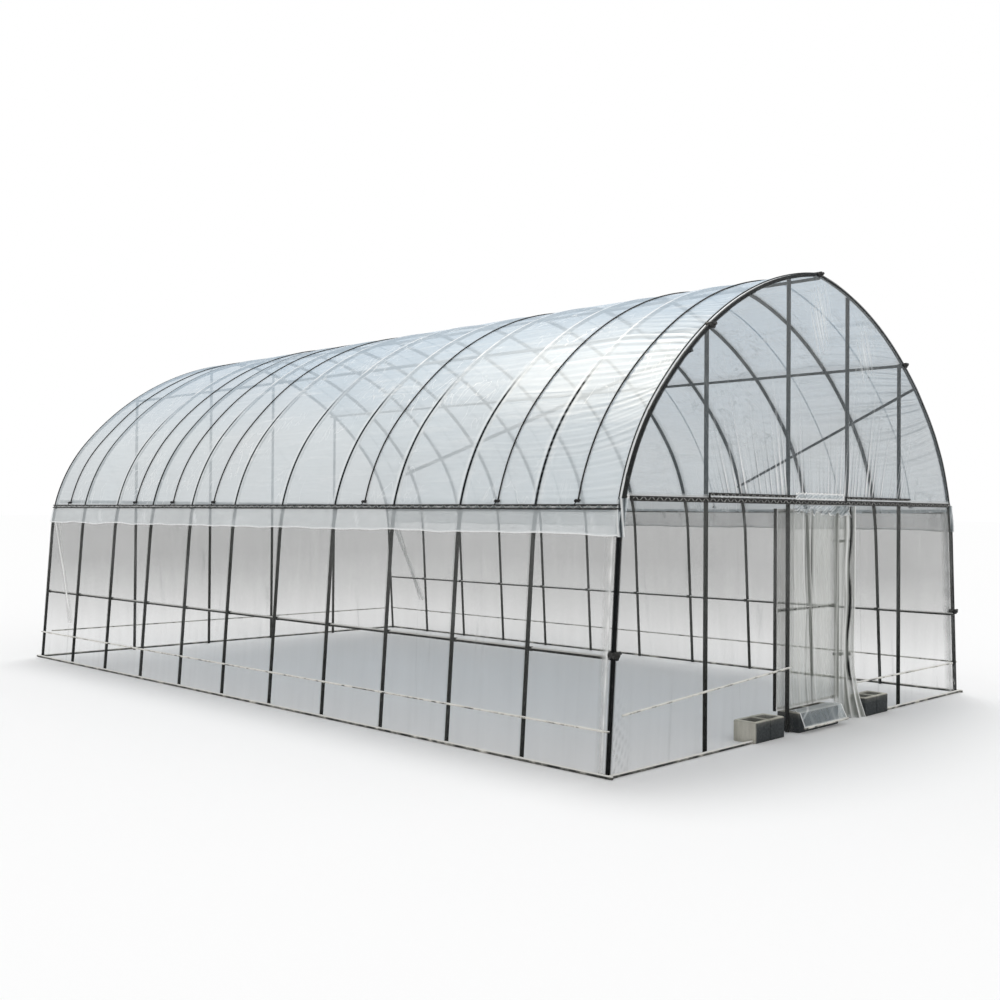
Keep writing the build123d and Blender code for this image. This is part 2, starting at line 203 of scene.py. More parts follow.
# %% Wrinkles
rng = np.random.default_rng(11)


def waves(shortest, longest, count=9):
    """A wavy line for wrinkles: a sum of sines with mixed lengths and places, about -1 to 1."""
    lengths = rng.uniform(shortest, longest, count)
    places = rng.uniform(0, 2 * math.pi, count)

    def wavy(u):
        turns = 2 * math.pi * np.asarray(u, float)[..., None] / lengths + places
        return np.sin(turns).sum(-1) / math.sqrt(2 * count)

    return wavy


def bell(distance, width):
    """A soft bump: 1 at no distance, falling off on both sides as exp(-(distance / width) squared)."""
    return np.exp(-((distance / width) ** 2))


print("a bump of width 1 is", bell(1.0, 1.0).round(2), "high at a distance of 1")

# %% [markdown]
# ## Finishes
# A finish is a small set of nodes under one Principled shader. They could be placed by hand in the Shader
# Editor. Short helpers write the same nodes as one line each, so that a finish reads like a recipe.

# %% Node helpers


def finish(name):
    """A new material with its nodes and its Principled shader."""
    material = bpy.data.materials.new(name)
    material.use_nodes = True
    tree = material.node_tree
    return material, tree, tree.nodes["Principled BSDF"]


def join(tree, value, socket):
    """Link a socket into an input, or set the input to a plain value."""
    if isinstance(value, bpy.types.NodeSocket):
        tree.links.new(value, socket)
    else:
        socket.default_value = value


def feed(tree, made, **inputs):
    """Fill a node's inputs by name, with _ for a space."""
    for key, value in inputs.items():
        join(tree, value, made.inputs[key.replace("_", " ")])


def node(tree, kind, settings=None, **inputs):
    """Add a node with its own settings, and fill its inputs."""
    made = tree.nodes.new(kind)
    for key, value in (settings or {}).items():
        setattr(made, key, value)
    feed(tree, made, **inputs)
    return made


def axes(tree, kind, output):
    """X, Y and Z of what a coordinate node gives."""
    source = tree.nodes.new(kind).outputs[output]
    return node(tree, "ShaderNodeSeparateXYZ", Vector=source).outputs


def noise(tree, scale, stretch=(1, 1, 1), coords="Object", detail=4.0, roughness=0.6, distortion=0.0):
    """Noise in the piece's own coordinates, stretched by a Mapping node."""
    source = tree.nodes.new("ShaderNodeTexCoord").outputs[coords]
    place = node(tree, "ShaderNodeMapping", Vector=source, Scale=stretch)
    return node(
        tree, "ShaderNodeTexNoise", Vector=place.outputs[0], Scale=scale, Detail=detail,
        Roughness=roughness, Distortion=distortion,
    ).outputs["Fac"]


def ramp(tree, value, stops):
    """Colour ramp from (place, colour) stops."""
    made = node(tree, "ShaderNodeValToRGB", Fac=value)
    made.color_ramp.elements.remove(made.color_ramp.elements[1])
    for n, (place, colour) in enumerate(stops):
        stop = made.color_ramp.elements[0] if n == 0 else made.color_ramp.elements.new(place)
        stop.position = place
        stop.color = (*colour, 1) if hasattr(colour, "__len__") else (colour, colour, colour, 1)
    return made.outputs["Color"]


def bump(tree, shader, height, strength, depth):
    """Feed a height into the shader's normal."""
    made = node(tree, "ShaderNodeBump", Height=height, Strength=strength, Distance=depth)
    feed(tree, shader, Normal=made.outputs[0])


def calc(tree, operation, *values, clamp=False):
    """A Math node on numbers or sockets."""
    made = node(tree, "ShaderNodeMath", {"operation": operation, "use_clamp": clamp})
    for value, socket in zip(values, made.inputs):
        join(tree, value, socket)
    return made.outputs[0]


def mix(tree, share, first, second):
    """A colour between two others, by a share from 0 to 1. A Mix node's colours are inputs 6 and 7."""
    made = node(tree, "ShaderNodeMix", {"data_type": "RGBA"})
    for place, value in ((0, share), (6, first), (7, second)):
        join(tree, (*value, 1) if isinstance(value, tuple) else value, made.inputs[place])
    return made.outputs[2]


# %% [markdown]
# ## Weathered metal
# The real tubes are weathered galvanised steel that looks nearly black against the sky, with pale scuffs.
# The low rails are wrapped in spare film, pale with dark gaps. Image textures would fit one size only, so
# noise in Object coordinates picks between two or three colours and drives roughness and bump. It fits any
# piece. On the mid rails and the wrapped rails, faces that look up are painted pale: a painted highlight
# from the sun above.

# %% Metal finishes
SUNLIT = (0.92, 0.91, 0.87)


def metal(name, stops, grain, metallic, rough, top=0.0, gloss=0.25, top_from=0.2):
    """Weathered metal: noise picks the colour, finer noise the roughness and the bump. Faces that look up
    get a painted highlight: they turn SUNLIT pale by the share top, from an upward share of top_from on."""
    material, tree, shader = finish(name)
    colour = ramp(tree, noise(tree, grain, detail=6.0), stops)
    if top:
        upwards = axes(tree, "ShaderNodeNewGeometry", "Normal")["Z"]
        lit = ramp(tree, upwards, [(top_from, 0.0), (top_from + 0.25, top)])
        colour = mix(tree, lit, colour, SUNLIT)
    fine = noise(tree, 4 * grain)
    worn = ramp(tree, fine, [(0.3, rough - 0.1), (0.7, rough + 0.15)])
    feed(tree, shader, Base_Color=colour, Roughness=worn, Metallic=metallic, Specular_IOR_Level=gloss)
    bump(tree, shader, fine, 0.25, 0.002)
    return material


steel = metal(
    "weathered_tube",
    [(0.3, (0.006, 0.007, 0.007)), (0.6, (0.022, 0.024, 0.023)), (0.76, (0.1, 0.105, 0.1))],
    26.0, 0.1, 0.5, gloss=0.18,
)
# The mid rails and the wrapped rails below get top: a painted highlight on faces that look up.
rail_steel = metal(
    "rail_tube", [(0.35, (0.004, 0.004, 0.004)), (0.7, (0.025, 0.025, 0.024))],
    26.0, 0.1, 0.5, top=0.95, gloss=0.15,
)
channel_steel = metal(
    "lock_channel_steel",
    [(0.35, (0.01, 0.01, 0.01)), (0.6, (0.035, 0.035, 0.033)), (0.75, (0.2, 0.2, 0.19))],
    60.0, 0.1, 0.5,
)
wire_coat = metal(
    "spring_wire_coat", [(0.3, (0.35, 0.35, 0.33)), (0.6, (0.72, 0.72, 0.69))], 30.0, 0.0, 0.4
)
WORN_WRAP = (0.8, 0.79, 0.74)
wrapped = metal(
    "film_wrapped_tube",
    [(0.36, (0.03, 0.032, 0.03)), (0.42, (0.3, 0.29, 0.26)), (0.5, (0.68, 0.66, 0.6)), (0.7, WORN_WRAP)],
    11.0, 0.0, 0.4, top=0.85, top_from=0.15,
)
base_wrap = metal(
    "film_wrapped_base_rail",
    [(0.44, (0.022, 0.024, 0.022)), (0.54, (0.2, 0.2, 0.18)), (0.64, (0.6, 0.58, 0.52)), (0.74, WORN_WRAP)],
    9.0, 0.0, 0.45, top=0.9, top_from=0.25,
)
print("metal finishes:", steel.name, rail_steel.name, channel_steel.name, wire_coat.name, wrapped.name)

# %% [markdown]
# ## Clear film
# Greenhouse film is a tenth of a millimetre of clear plastic: you see through it, yet it has a bluish
# haze, streaks where it was stretched, and pale edges where it is folded double. A Glass shader would bend
# the view. Alpha on the Principled shader lets it through straight. Noise stretched along the sheet's own
# UV map makes the streaks, and the bright ones get a painted glint. Up high the roof and gable get a bluer
# tint, a painted reflection of the sky. Two attributes of the mesh paint the rest: hem, counted in from the
# edges, makes doubled edges paler, and the fold tone makes creases pale above 0, partly doubled film and
# partly painted highlight, and dark below 0, painted shade in their valleys and over tubes that show
# through.

# %% Film finish
# Pale for doubled film and painted highlights, nearly black for painted shade, and a painted glint colour.
PALE_HEM_AND_HIGHLIGHT, PAINTED_SHADE, GLINT = (0.95, 0.95, 0.94), (0.012, 0.013, 0.014), (0.84, 0.87, 0.88)


def film_finish(
    name, stretch, haze, low, high, pale=0.6, sky=None, shine=0.4, mist=0.0, gloss=0.3, crinkle=0.0
):
    """Film: alpha from streaked noise plus hem and folds. Colour goes from haze to pale on the hem, where
    the film is doubled, and on folds as a painted highlight, and to nearly black in their valleys as painted
    shade, where the gloss stops too. Bright streaks get a painted glint, and a bluer tint up high where sky
    is given is a painted reflection of the sky. Mist thickens off the ground, and thin crinkles where a
    noise crosses its middle value are painted pale as highlights."""
    material, tree, shader = finish(name)
    streak = noise(tree, 1.0, (*stretch, 1), "UV", 2.5, 0.55, 0.6)
    cloud = noise(tree, 0.6, (1, 1, 1), "UV", 3.0, 0.5, 0.3)
    hem = node(tree, "ShaderNodeAttribute", {"attribute_name": "hem"}).outputs["Fac"]
    fold_tone_and_shading = node(tree, "ShaderNodeAttribute", {"attribute_name": "fold_tone_and_shading"}).outputs["Fac"]
    hem_and_highlight = calc(tree, "MAXIMUM", hem, fold_tone_and_shading)
    valley = calc(tree, "MULTIPLY", fold_tone_and_shading, -1.0, clamp=True)
    height = axes(tree, "ShaderNodeTexCoord", "Object")["Z"]
    colour = ramp(tree, cloud, [(0.35, haze), (0.65, tuple(0.7 * c + 0.2 for c in haze))])
    # Up high the colour turns to the sky colour: a painted reflection of the sky.
    if sky:
        up_high = node(tree, "ShaderNodeMapRange", Value=height, From_Min=2.3, From_Max=3.3).outputs[0]
        colour = mix(tree, up_high, colour, sky)
    # Bright streaks turn to GLINT, a painted glint; then the hem and the fold highlights turn pale.
    colour = mix(tree, ramp(tree, streak, [(0.52, 0.0), (0.74, shine)]), colour, GLINT)
    colour = mix(tree, hem_and_highlight, colour, PALE_HEM_AND_HIGHLIGHT)
    # Crinkle lines are painted pale, as painted highlights.
    if crinkle:
        bent = noise(tree, 1.0, (2.4, 5.5, 1), "UV", 2.0, 0.5, 1.4)
        off_middle = calc(tree, "ABSOLUTE", calc(tree, "SUBTRACT", bent, 0.5))
        line = ramp(tree, off_middle, [(0.0, crinkle), (0.022, 0.0)])
        patch = ramp(tree, noise(tree, 1.3, (1, 1, 1), "UV", 2.0, 0.5, 0.4), [(0.48, 0.0), (0.62, 1.0)])
        crease = calc(tree, "MULTIPLY", line, patch)
        hem_and_highlight = calc(tree, "MAXIMUM", hem_and_highlight, crease)
        colour = mix(tree, crease, colour, PALE_HEM_AND_HIGHLIGHT)
    # Below 0 the fold tone turns the film nearly black: painted shade in fold valleys and over tubes.
    colour = mix(tree, valley, colour, PAINTED_SHADE)
    body = ramp(tree, streak, [(0.3, low), (0.55, 0.5 * (low + high)), (0.68, high), (0.8, high + 0.15)])
    body = calc(tree, "MULTIPLY_ADD", hem_and_highlight, pale, body)
    if mist:
        off_ground = node(tree, "ShaderNodeMapRange", Value=height, From_Min=0.3, From_Max=1.1, To_Max=mist)
        body = calc(tree, "ADD", body, off_ground.outputs[0])
    alpha = calc(tree, "MULTIPLY_ADD", valley, 0.5, body, clamp=True)
    gloss_left = calc(tree, "MULTIPLY_ADD", valley, -gloss, gloss)
    feed(tree, shader, Base_Color=colour, Alpha=alpha, Specular_IOR_Level=gloss_left, Roughness=0.38)
    bump(tree, shader, streak, 0.4, 0.012)
    return material


# %% [markdown]
# The roof film takes the most light and looks the haziest. The walls are nearly clear, the gable lies
# between, and the loose ends and flaps are milky. One recipe with other amounts gives them all, which is
# less work than six node trees.

# %% Film skins
roof_skin = film_finish(
    "roof_film_skin", (13.0, 1.5), (0.74, 0.82, 0.86), 0.64, 0.74, 0.5, (0.48, 0.64, 0.78),
    gloss=0.6, crinkle=0.6,
)
wall_skin = film_finish(
    "wall_film_skin", (9.0, 0.7), (0.045, 0.05, 0.04), 0.07, 0.12, 0.85, shine=0.2, mist=0.28, gloss=0.06
)
gable_skin = film_finish(
    "gable_film_skin", (4.0, 0.5), (0.4, 0.47, 0.51), 0.14, 0.2, 0.75, (0.82, 0.88, 0.9),
    shine=0.3, gloss=0.2,
)
door_skin = film_finish("door_film_skin", (14.0, 0.9), (0.34, 0.36, 0.32), 0.5, 0.66)
loose_skin = film_finish("loose_film_skin", (12.0, 4.0), (0.5, 0.58, 0.62), 0.3, 0.44)
flap_skin = film_finish("flap_film_skin", (1.5, 5.0), (0.86, 0.93, 0.96), 0.38, 0.48, 0.7, shine=0.3)
print("film finishes:", roof_skin.name, wall_skin.name, gable_skin.name, door_skin.name, loose_skin.name)

# %% [markdown]
# ## From grids to sheets
# A sheet of film is cut flat, so its UV map is laid out in metres as it was cut. Unwrapping by hand would
# give the same, but the grid already knows how far each point lies from the edges. The same distances give
# the hem.

# %% Sheet helpers


def sheet_piece(
    name, points, material, stands_for=(), body="frame", hem_width=0.012, edges="tblr", fold_tone_and_shading=0.0,
    laid_out=None,
):
    """A grid of points as a sheet, with a UV map in metres along its own rows and columns or as laid out,
    the hem counted in from the named edges, and the fold tone: above 0 pale, for doubled film and painted
    highlights, below 0 dark, for painted shade and tubes that show through."""
    rows, cols = points.shape[:2]
    faces = grid_faces(rows, cols).tolist()
    piece = put(name, points.reshape(-1, 3), faces, material, "film", body, stands_for)
    up = np.linalg.norm(np.diff(points, axis=0, prepend=points[:1]), axis=2).cumsum(0)
    over = np.linalg.norm(np.diff(points, axis=1, prepend=points[:, :1]), axis=2).cumsum(1)
    if laid_out:
        over, up = laid_out
    mesh = piece.data
    corner = np.empty(len(mesh.loops), int)
    mesh.loops.foreach_get("vertex_index", corner)
    cut = np.stack([over.ravel(), up.ravel()], -1)[corner]
    mesh.uv_layers.new(name="cut").data.foreach_set("uv", cut.ravel())
    far = {"b": up, "t": up[-1:] - up, "l": over, "r": over[:, -1:] - over}
    inwards = np.min([np.full((rows, cols), np.inf)] + [far[edge] for edge in edges], 0)
    marks = {"hem": np.clip(1.5 - inwards / hem_width, 0, 1), "fold_tone_and_shading": np.broadcast_to(fold_tone_and_shading, (rows, cols))}
    for mark, values in marks.items():
        mesh.attributes.new(mark, "FLOAT", "POINT").data.foreach_set("value", values.ravel())
    return piece


# %% [markdown]
# ## Hoops
# Each hoop is one bent tube, and the CAD solid is a square bar that stands for it. A curve with a bevel
# could give the round tube. Carrying a ring along the hoop function keeps the tube exactly on the CAD
# curve.

# %% Hoops
TUBE = 0.0145
hoop_t = np.linspace(0, 2 * HALF_HOOP, 141)
hoop_x, hoop_z = hoop(hoop_t)
RIDGE_POINT = len(hoop_t) // 2
for number, y in enumerate(HOOP_Y, 1):
    points, faces = tube(xyz(hoop_x, y, hoop_z), TUBE, 10, (0, 1, 0))
    points[:, 2] = np.maximum(points[:, 2], 0)
    put(f"hoop_tube_{number:02d}", points, faces, steel, "tube", stands_for=[f"hoop_{number:02d}"])

# %% [markdown]
# ## Straight rails
# Purlins and mid rails lie under the hoops and tie them together. Their places are read from the CAD
# boxes, so nothing is measured twice. A cylinder from the Add menu would do for each. A ring carried
# between two points is the same shape, and it needs no turning into place.

# %% Rails
RAIL = 0.0125
ASLANT = (0.3, 0.2, 1)


def rod(start, end, radius, sides=12):
    """Straight tube between two points."""
    return tube(np.linspace(start, end, 2), radius, sides, ASLANT)


def pair_places(node_name):
    """The two rails of a node that run along the tunnel, as (x, z) of each, with radius and both ends."""
    low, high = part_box(node_name)
    radius = (high[2] - low[2]) / 2
    places = [(low[0] + radius, low[2] + radius), (high[0] - radius, low[2] + radius)]
    return places, radius, low[1], high[1]


rails = {}
for node_name in ("side_purlins", "mid_rails"):
    places, radius, near, far_end = pair_places(node_name)
    rails[node_name] = places
    shapes = [rod((x, near, z), (x, far_end, z), radius) for x, z in places]
    cover = rail_steel if node_name == "mid_rails" else steel
    put(f"{node_name}_tubes", *gathered(shapes), cover, "tube", stands_for=[node_name])
low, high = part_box("ridge_purlin")
ridge_z = (low[2] + high[2]) / 2
rails["ridge_purlin"] = [(0.0, ridge_z)]
shape = rod((0, low[1], ridge_z), (0, high[1], ridge_z), RAIL)
put("ridge_purlin_tube", *shape, steel, "tube", stands_for=["ridge_purlin"])

# %% [markdown]
# ## Posts and braces
# Posts stand behind the end hoops and frame the door, and two braces run slanting from the front hoop down
# to the fourth one. They are straight tubes as well. The rear posts end under the hoop, so their height is
# read off the hoop's curve, and the braces take both ends from it.

# %% Posts and braces
POST = 0.016
for node_name in ("front_post_left", "front_post_right", "door_jamb_left", "door_jamb_right"):
    low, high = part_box(node_name)
    x, y = (low[0] + high[0]) / 2, (low[1] + high[1]) / 2
    shape = rod((x, y, 0), (x, y, high[2]), POST, 14)
    put(f"{node_name}_tube", *shape, steel, "tube", stands_for=[node_name])

REAR_POST_XS = np.array([1.43, 0.45])
low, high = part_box("rear_posts")
rear_y = (low[1] + high[1]) / 2
tops = np.interp(REAR_POST_XS + POST, hoop_x[RIDGE_POINT:], hoop_z[RIDGE_POINT:])
shapes = [
    rod((side * x, rear_y, 0), (side * x, rear_y, top), POST, 14)
    for x, top in zip(REAR_POST_XS, tops) for side in (-1, 1)
]
put("rear_post_tubes", *gathered(shapes), steel, "tube", stands_for=["rear_posts"])

UNDER_HOOP = -0.027
top_x, top_z = hoop(2 * HALF_HOOP - along(40.5), UNDER_HOOP)
foot_x, foot_z = hoop(2 * HALF_HOOP - along(68.0), UNDER_HOOP)
shapes = [
    rod((side * top_x, -HALF_LENGTH, top_z), (side * foot_x, HOOP_Y[3], foot_z), RAIL) for side in (-1, 1)
]
put("wind_brace_tubes", *gathered(shapes), steel, "tube", stands_for=["wind_braces"])

# %% [markdown]
# ## Film-wrapped base and skirt rails
# The rails on the ground and low on the walls have the film's spare edge rolled round them, so they look
# pale and lumpy with dark patches of bare tube. The same ring is carried along a straight path, and a wavy
# line swells its radius.

# %% Wrapped rails
SKIRT = 0.008
DOORWAY_GAP = (-0.936, 1.071)


def wrapped_rod(start, end, radius):
    """Straight tube whose radius swells and shrinks by a wavy line, as film rolled round a tube does."""
    long = math.dist(start, end)
    s = np.linspace(0, 1, max(8, int(long / 0.06)))
    swell = radius * (1 + 0.06 * waves(0.15, 0.7)(s * long))
    path = np.asarray(start) + s[:, None] * (np.asarray(end) - np.asarray(start))
    points, faces = tube(path, swell, 10, ASLANT)
    points[:, 2] = np.maximum(points[:, 2], 0)
    return points, faces


def put_wrapped(node_name, shapes, cover):
    """Wrapped rails as one piece that stands for its node."""
    put(f"{node_name}_wrapped", *gathered(shapes), cover, "film_wrapped_tube", stands_for=[node_name])


for node_name, cover in (("side_base_rails", base_wrap), ("side_skirt_rails", wrapped)):
    places, radius, near, far_end = pair_places(node_name)
    put_wrapped(node_name, [wrapped_rod((x, near, z), (x, far_end, z), radius) for x, z in places], cover)
low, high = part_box("front_base_rails")
y = (low[1] + high[1]) / 2
spans = ((low[0], DOORWAY_GAP[0]), (DOORWAY_GAP[1], high[0]))
shapes = [wrapped_rod((start, y, RAIL), (end, y, RAIL), RAIL) for start, end in spans]
put_wrapped("front_base_rails", shapes, base_wrap)
low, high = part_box("rear_base_rail")
y = (low[1] + high[1]) / 2
put_wrapped("rear_base_rail", [wrapped_rod((low[0], y, RAIL), (high[0], y, RAIL), RAIL)], base_wrap)
low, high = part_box("end_skirt_rails")
front_y, back_y, corner_x = low[1] + SKIRT, high[1] - SKIRT, high[0]
shapes = [
    wrapped_rod((-corner_x, front_y, 0.37), (-0.42, front_y, 0.49), SKIRT),
    wrapped_rod((0.59, front_y, 0.28), (corner_x, front_y, 0.28), SKIRT),
    wrapped_rod((-corner_x, back_y, 0.28), (corner_x, back_y, 0.28), SKIRT),
]
put_wrapped("end_skirt_rails", shapes, wrapped)

# %% [markdown]
# ## Lock channels and spring wire
# Film is held in a lipped channel by a zigzag wire that springs against its walls. The CAD channels
# already have the true section, so they stay and only get a finish. The wire is a thin ring carried along
# a sine wave that swings from lip to lip.

# %% Lock channels
for node_name in ("side_lock_channels", "front_lock_channel", "rear_lock_channel", "short_channels"):
    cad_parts[node_name].material_slots[0].material = channel_steel

WIRE, SWING, WAVE = 0.0016, 0.011, 0.085
INSET, END_GAP = 0.0014, 0.02


def spring_wire(start, end, swing_dir):
    """Wire along a line, pushed sideways by a sine wave: place = line + swing * sin(2 pi s / wave) *
    side."""
    start, end = np.asarray(start, float), np.asarray(end, float)
    long = np.linalg.norm(end - start)
    s = np.linspace(0, long, int(long / WAVE * 10))
    swing = SWING * np.sin(2 * math.pi * s / WAVE)
    path = start + s[:, None] / long * (end - start) + swing[:, None] * np.asarray(swing_dir, float)
    return tube(path, WIRE, 5, np.cross(end - start, swing_dir))


channel_slope = math.radians(CHANNEL_SLOPE)
wire_x, wire_z = hoop(2 * HALF_HOOP - CHANNEL_S, 0.0272)
down = np.array([math.cos(channel_slope), 0, -math.sin(channel_slope)])
wire_end = HALF_LENGTH - END_GAP
shapes = [
    spring_wire((side * wire_x, -wire_end, wire_z), (side * wire_x, wire_end, wire_z), down * (side, 1, 1))
    for side in (-1, 1)
]
for node_name, facing in (("front_lock_channel", -1), ("rear_lock_channel", 1)):
    low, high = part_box(node_name)
    y, z = (low[1] if facing < 0 else high[1]) - facing * INSET, (low[2] + high[2]) / 2
    shapes.append(spring_wire((low[0] + END_GAP, y, z), (high[0] - END_GAP, y, z), (0, 0, 1)))
SHORT_HALF, SHORT_MIDDLES = 0.55, (-0.905, 0.975)
low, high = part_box("short_channels")
y, z = low[1] + INSET, (low[2] + high[2]) / 2
shapes += [spring_wire((x - SHORT_HALF, y, z), (x + SHORT_HALF, y, z), (0, 0, 1)) for x in SHORT_MIDDLES]
put("spring_wires", *gathered(shapes), wire_coat, "lock_channel")

# %% [markdown]
# ## Roof film
# One sheet goes over all hoops from side channel to side channel. It touches the hoops, dips a little
# between them, and dips to a valley where a rope presses it down. Near the front hoop it is pulled into
# fine creases that run along the tunnel. Cloth simulation would take minutes for eight metres of film. A
# grid on the hoop function with these few terms gives the same look at once.

# %% How the roof film lies
ROPE_BAYS = np.array([1, 2, 4, 7, 8, 9, 11])
SEAT = 0.0153
front_creases, side_creases, soft_waves = waves(0.03, 0.075), waves(0.06, 0.25), waves(0.5, 1.6)
stray = waves(0.3, 0.9)
PULL_S = along(43.0)


def bay_place(y):
    """Number of the bay (from 1) and the place in it, 0 at one hoop and 1 at the next."""
    p = np.clip((y + HALF_LENGTH) / BAY, 0, BAYS - 1e-6)
    return np.floor(p).astype(int) + 1, p - np.floor(p)


def from_pull(c, y):
    """Distance behind the front hoop, and distance along the hoop from its most pulled place."""
    return np.clip(y + HALF_LENGTH, 0, None), HALF_HOOP - np.abs(c - HALF_HOOP) - PULL_S


def fan_out(c, y):
    """Lines of the grid: they leave the front hoop at c and spread from its most pulled place as they run
    back, by a share that grows over the first metre and then fades. The right side mirrors the left."""
    near, off = from_pull(c, y)
    spread = 2.2 * near * np.exp(-near / 0.9) * off * bell(off, 0.6)
    return c + np.where(c < HALF_HOOP, spread, -spread)


def front_pull(c, y):
    """Creases along the fanned lines: a wavy line across them, strongest at the pulled place."""
    near, off = from_pull(c, y)
    where = 0.3 + 0.7 * bell(off, 0.7)
    return where * np.exp(-near / (0.7 + 0.25 * stray(c))) * np.minimum(near / 0.08, 1) * front_creases(c)


def roof_offset(y, t, creases=0.0):
    """Height of the film off the tube centre line: the seat on the hoops, less a straight-sided valley in
    rope bays or a soft dip in the others, plus front creases, creases by the channel and slow waves."""
    bay, place = bay_place(y)
    valley = 0.012 * (1 - np.abs(2 * place - 1)) ** 0.9
    dip = np.where(np.isin(bay, ROPE_BAYS), valley, 0.006 * np.sin(math.pi * place))
    edge = np.minimum(t, 2 * HALF_HOOP - t) - CHANNEL_S
    pull = 0.004 * np.exp(-np.clip(edge, 0, None) / 0.22) * side_creases(y)
    slow = 0.003 * soft_waves(y + 0.6 * t)
    return SEAT - dip + np.sin(math.pi * place) ** 0.7 * (0.0022 * creases + pull + slow)


print(f"the film is pulled most {PULL_S:.2f} m from the foot, ropes press bays {ROPE_BAYS.tolist()}")

# %% [markdown]
# The grid has close rows beside each hoop, where the film turns over the tube, and wide ones in between.
# Its lines stand closest where the creases are finest. An even grid with the same detail would have many
# times the faces.

# %% Roof grid
FILM_FRONT, FILM_END = -3.987, HALF_LENGTH + 0.014
half_bay = np.array([0.013, 0.019, 0.034, 0.08, 0.14, 0.2, 0.28, 0.36, 0.43])
rows_in_bay = np.concatenate([[0], half_bay, [0.5], 1 - half_bay[::-1]])
front_rows = [FILM_FRONT, -3.981, -3.975, -3.968, -3.96]
roof_rows = (HOOP_Y[:-1, None] + BAY * rows_in_bay).ravel()
roof_rows = np.concatenate([front_rows, roof_rows[4:], [HALF_LENGTH, FILM_END]])
zone_steps = (0, 0.3, 2.4, 3)
pulled_zone = (CHANNEL_S, PULL_S - 0.75, PULL_S + 0.75, HALF_HOOP)
left_c = np.interp(np.linspace(0, 3, 238), zone_steps, pulled_zone)
right_c = 2 * HALF_HOOP - np.interp(np.linspace(3, 0, 161), zone_steps, pulled_zone)
lines, roof_y = np.meshgrid(np.concatenate([left_c, right_c[1:]]), roof_rows)
roof_t = fan_out(lines, roof_y)
pulled = front_pull(lines, roof_y)
lift = roof_offset(roof_y, roof_t, pulled)
lift[:2] = [[0.0095], [0.0135]]
roof_x, roof_z = hoop(roof_t, lift)
print("roof grid:", roof_y.shape[0], "rows of", roof_y.shape[1], "points")

# %% [markdown]
# Where the film lies on a tube, the tube shows as a crisp dark line, and high up, where the film shines,
# as a pale one. Light gathers in the creases. Alpha dims all tubes behind the film alike, near or far, so
# these tones are painted into the fold attribute, by the distance from the nearest hoop.

# %% Roof sheet
THIN_LINE, BOLD_LINE, LINE_EDGE = 0.0139, 0.0165, 0.0043
BOLD_HOOPS = (8, 10, 11)
place = bay_place(roof_y)[1]
off_hoop = BAY * np.minimum(place, 1 - place)
bold = np.isin(np.rint((roof_y + HALF_LENGTH) / BAY), BOLD_HOOPS)
height = np.clip((np.minimum(roof_t, 2 * HALF_HOOP - roof_t) - along(47.0)) / 0.5, 0, 1)
height = np.where(bold, 0, height)
behind_front = roof_y > -3.8
line_half = np.where(bold, BOLD_LINE, THIN_LINE)
over_tube = np.clip((line_half - off_hoop) / LINE_EDGE, 0, 1) * (1 - 0.9 * height) * behind_front
beside = np.interp(off_hoop, (THIN_LINE, 0.0248, 0.055), (0, 1, 0))
flanks = 0.45 * beside * (1 - height) * ~bold * behind_front
on_hoops = bell(off_hoop, 0.011) * height * behind_front * (1.0 + 0.4 * stray(2 * roof_t))
creases = np.where(pulled > 0, 0.9 * pulled, 0.65 * pulled)
folds = np.clip(on_hoops + flanks - over_tube + creases, -1, 1)
roof = sheet_piece(
    "roof_sheet", xyz(roof_x, roof_y, roof_z), roof_skin, ["roof_film"], edges="b",
    fold_tone_and_shading=np.where(roof_y < -3.978, 0.9, folds), hem_width=0.008,
)

# %% [markdown]
# At the front hoop a thin wire over the film keeps its edge from slipping. It shows as a fine dark line
# beside the tube, with a pale strip of film between. A ring carried along the hoop's curve makes it, as
# for the tube.

# %% Edge wire
EDGE_WIRE, EDGE_WIRE_Y = 0.0042, -3.9735
x, z = hoop(np.linspace(CHANNEL_S, 2 * HALF_HOOP - CHANNEL_S, 101), SEAT + 0.003)
shape = tube(xyz(x, EDGE_WIRE_Y, z), EDGE_WIRE, 6, (0, 1, 0))
put("front_edge_wire", *shape, channel_steel, "lock_channel")

# %% [markdown]
# ## Side films and their loose flaps
# Below the channel a second sheet covers each wall down to the ground. The lower edge of the roof film
# comes out of the channel's mouth and hangs free as a rippled flap. Both are grids over length and height.
# The ripples grow from nothing at the channel to their full depth at the free edge. Pale streaks on the
# folds are painted highlights.

# %% How the side films lie
wall_creases, wall_waves, flap_waves = waves(0.08, 0.3), waves(0.7, 2.0), waves(0.12, 0.5)


def wall_offset(y, s):
    """Seat on the hoops, less a soft dip between them, plus creases that fade down from the channel."""
    loose = np.sin(math.pi * bay_place(y)[1]) ** 0.8
    creases = 0.004 * np.exp(-(CHANNEL_S - s) / 0.3) * wall_creases(y + 0.15 * s)
    slack = 0.006 + 0.003 * wall_waves(y + 0.4 * s)
    return SEAT - loose * np.clip(slack - creases, 0, None)


def on_side(t, y, offset, side):
    """Grid of a wall on the left (-1) or right (1) side, with its faces outwards."""
    x, z = hoop(t if side < 0 else 2 * HALF_HOOP - t, offset)
    return xyz(x, y, np.maximum(z, 0.001))[:, ::side]


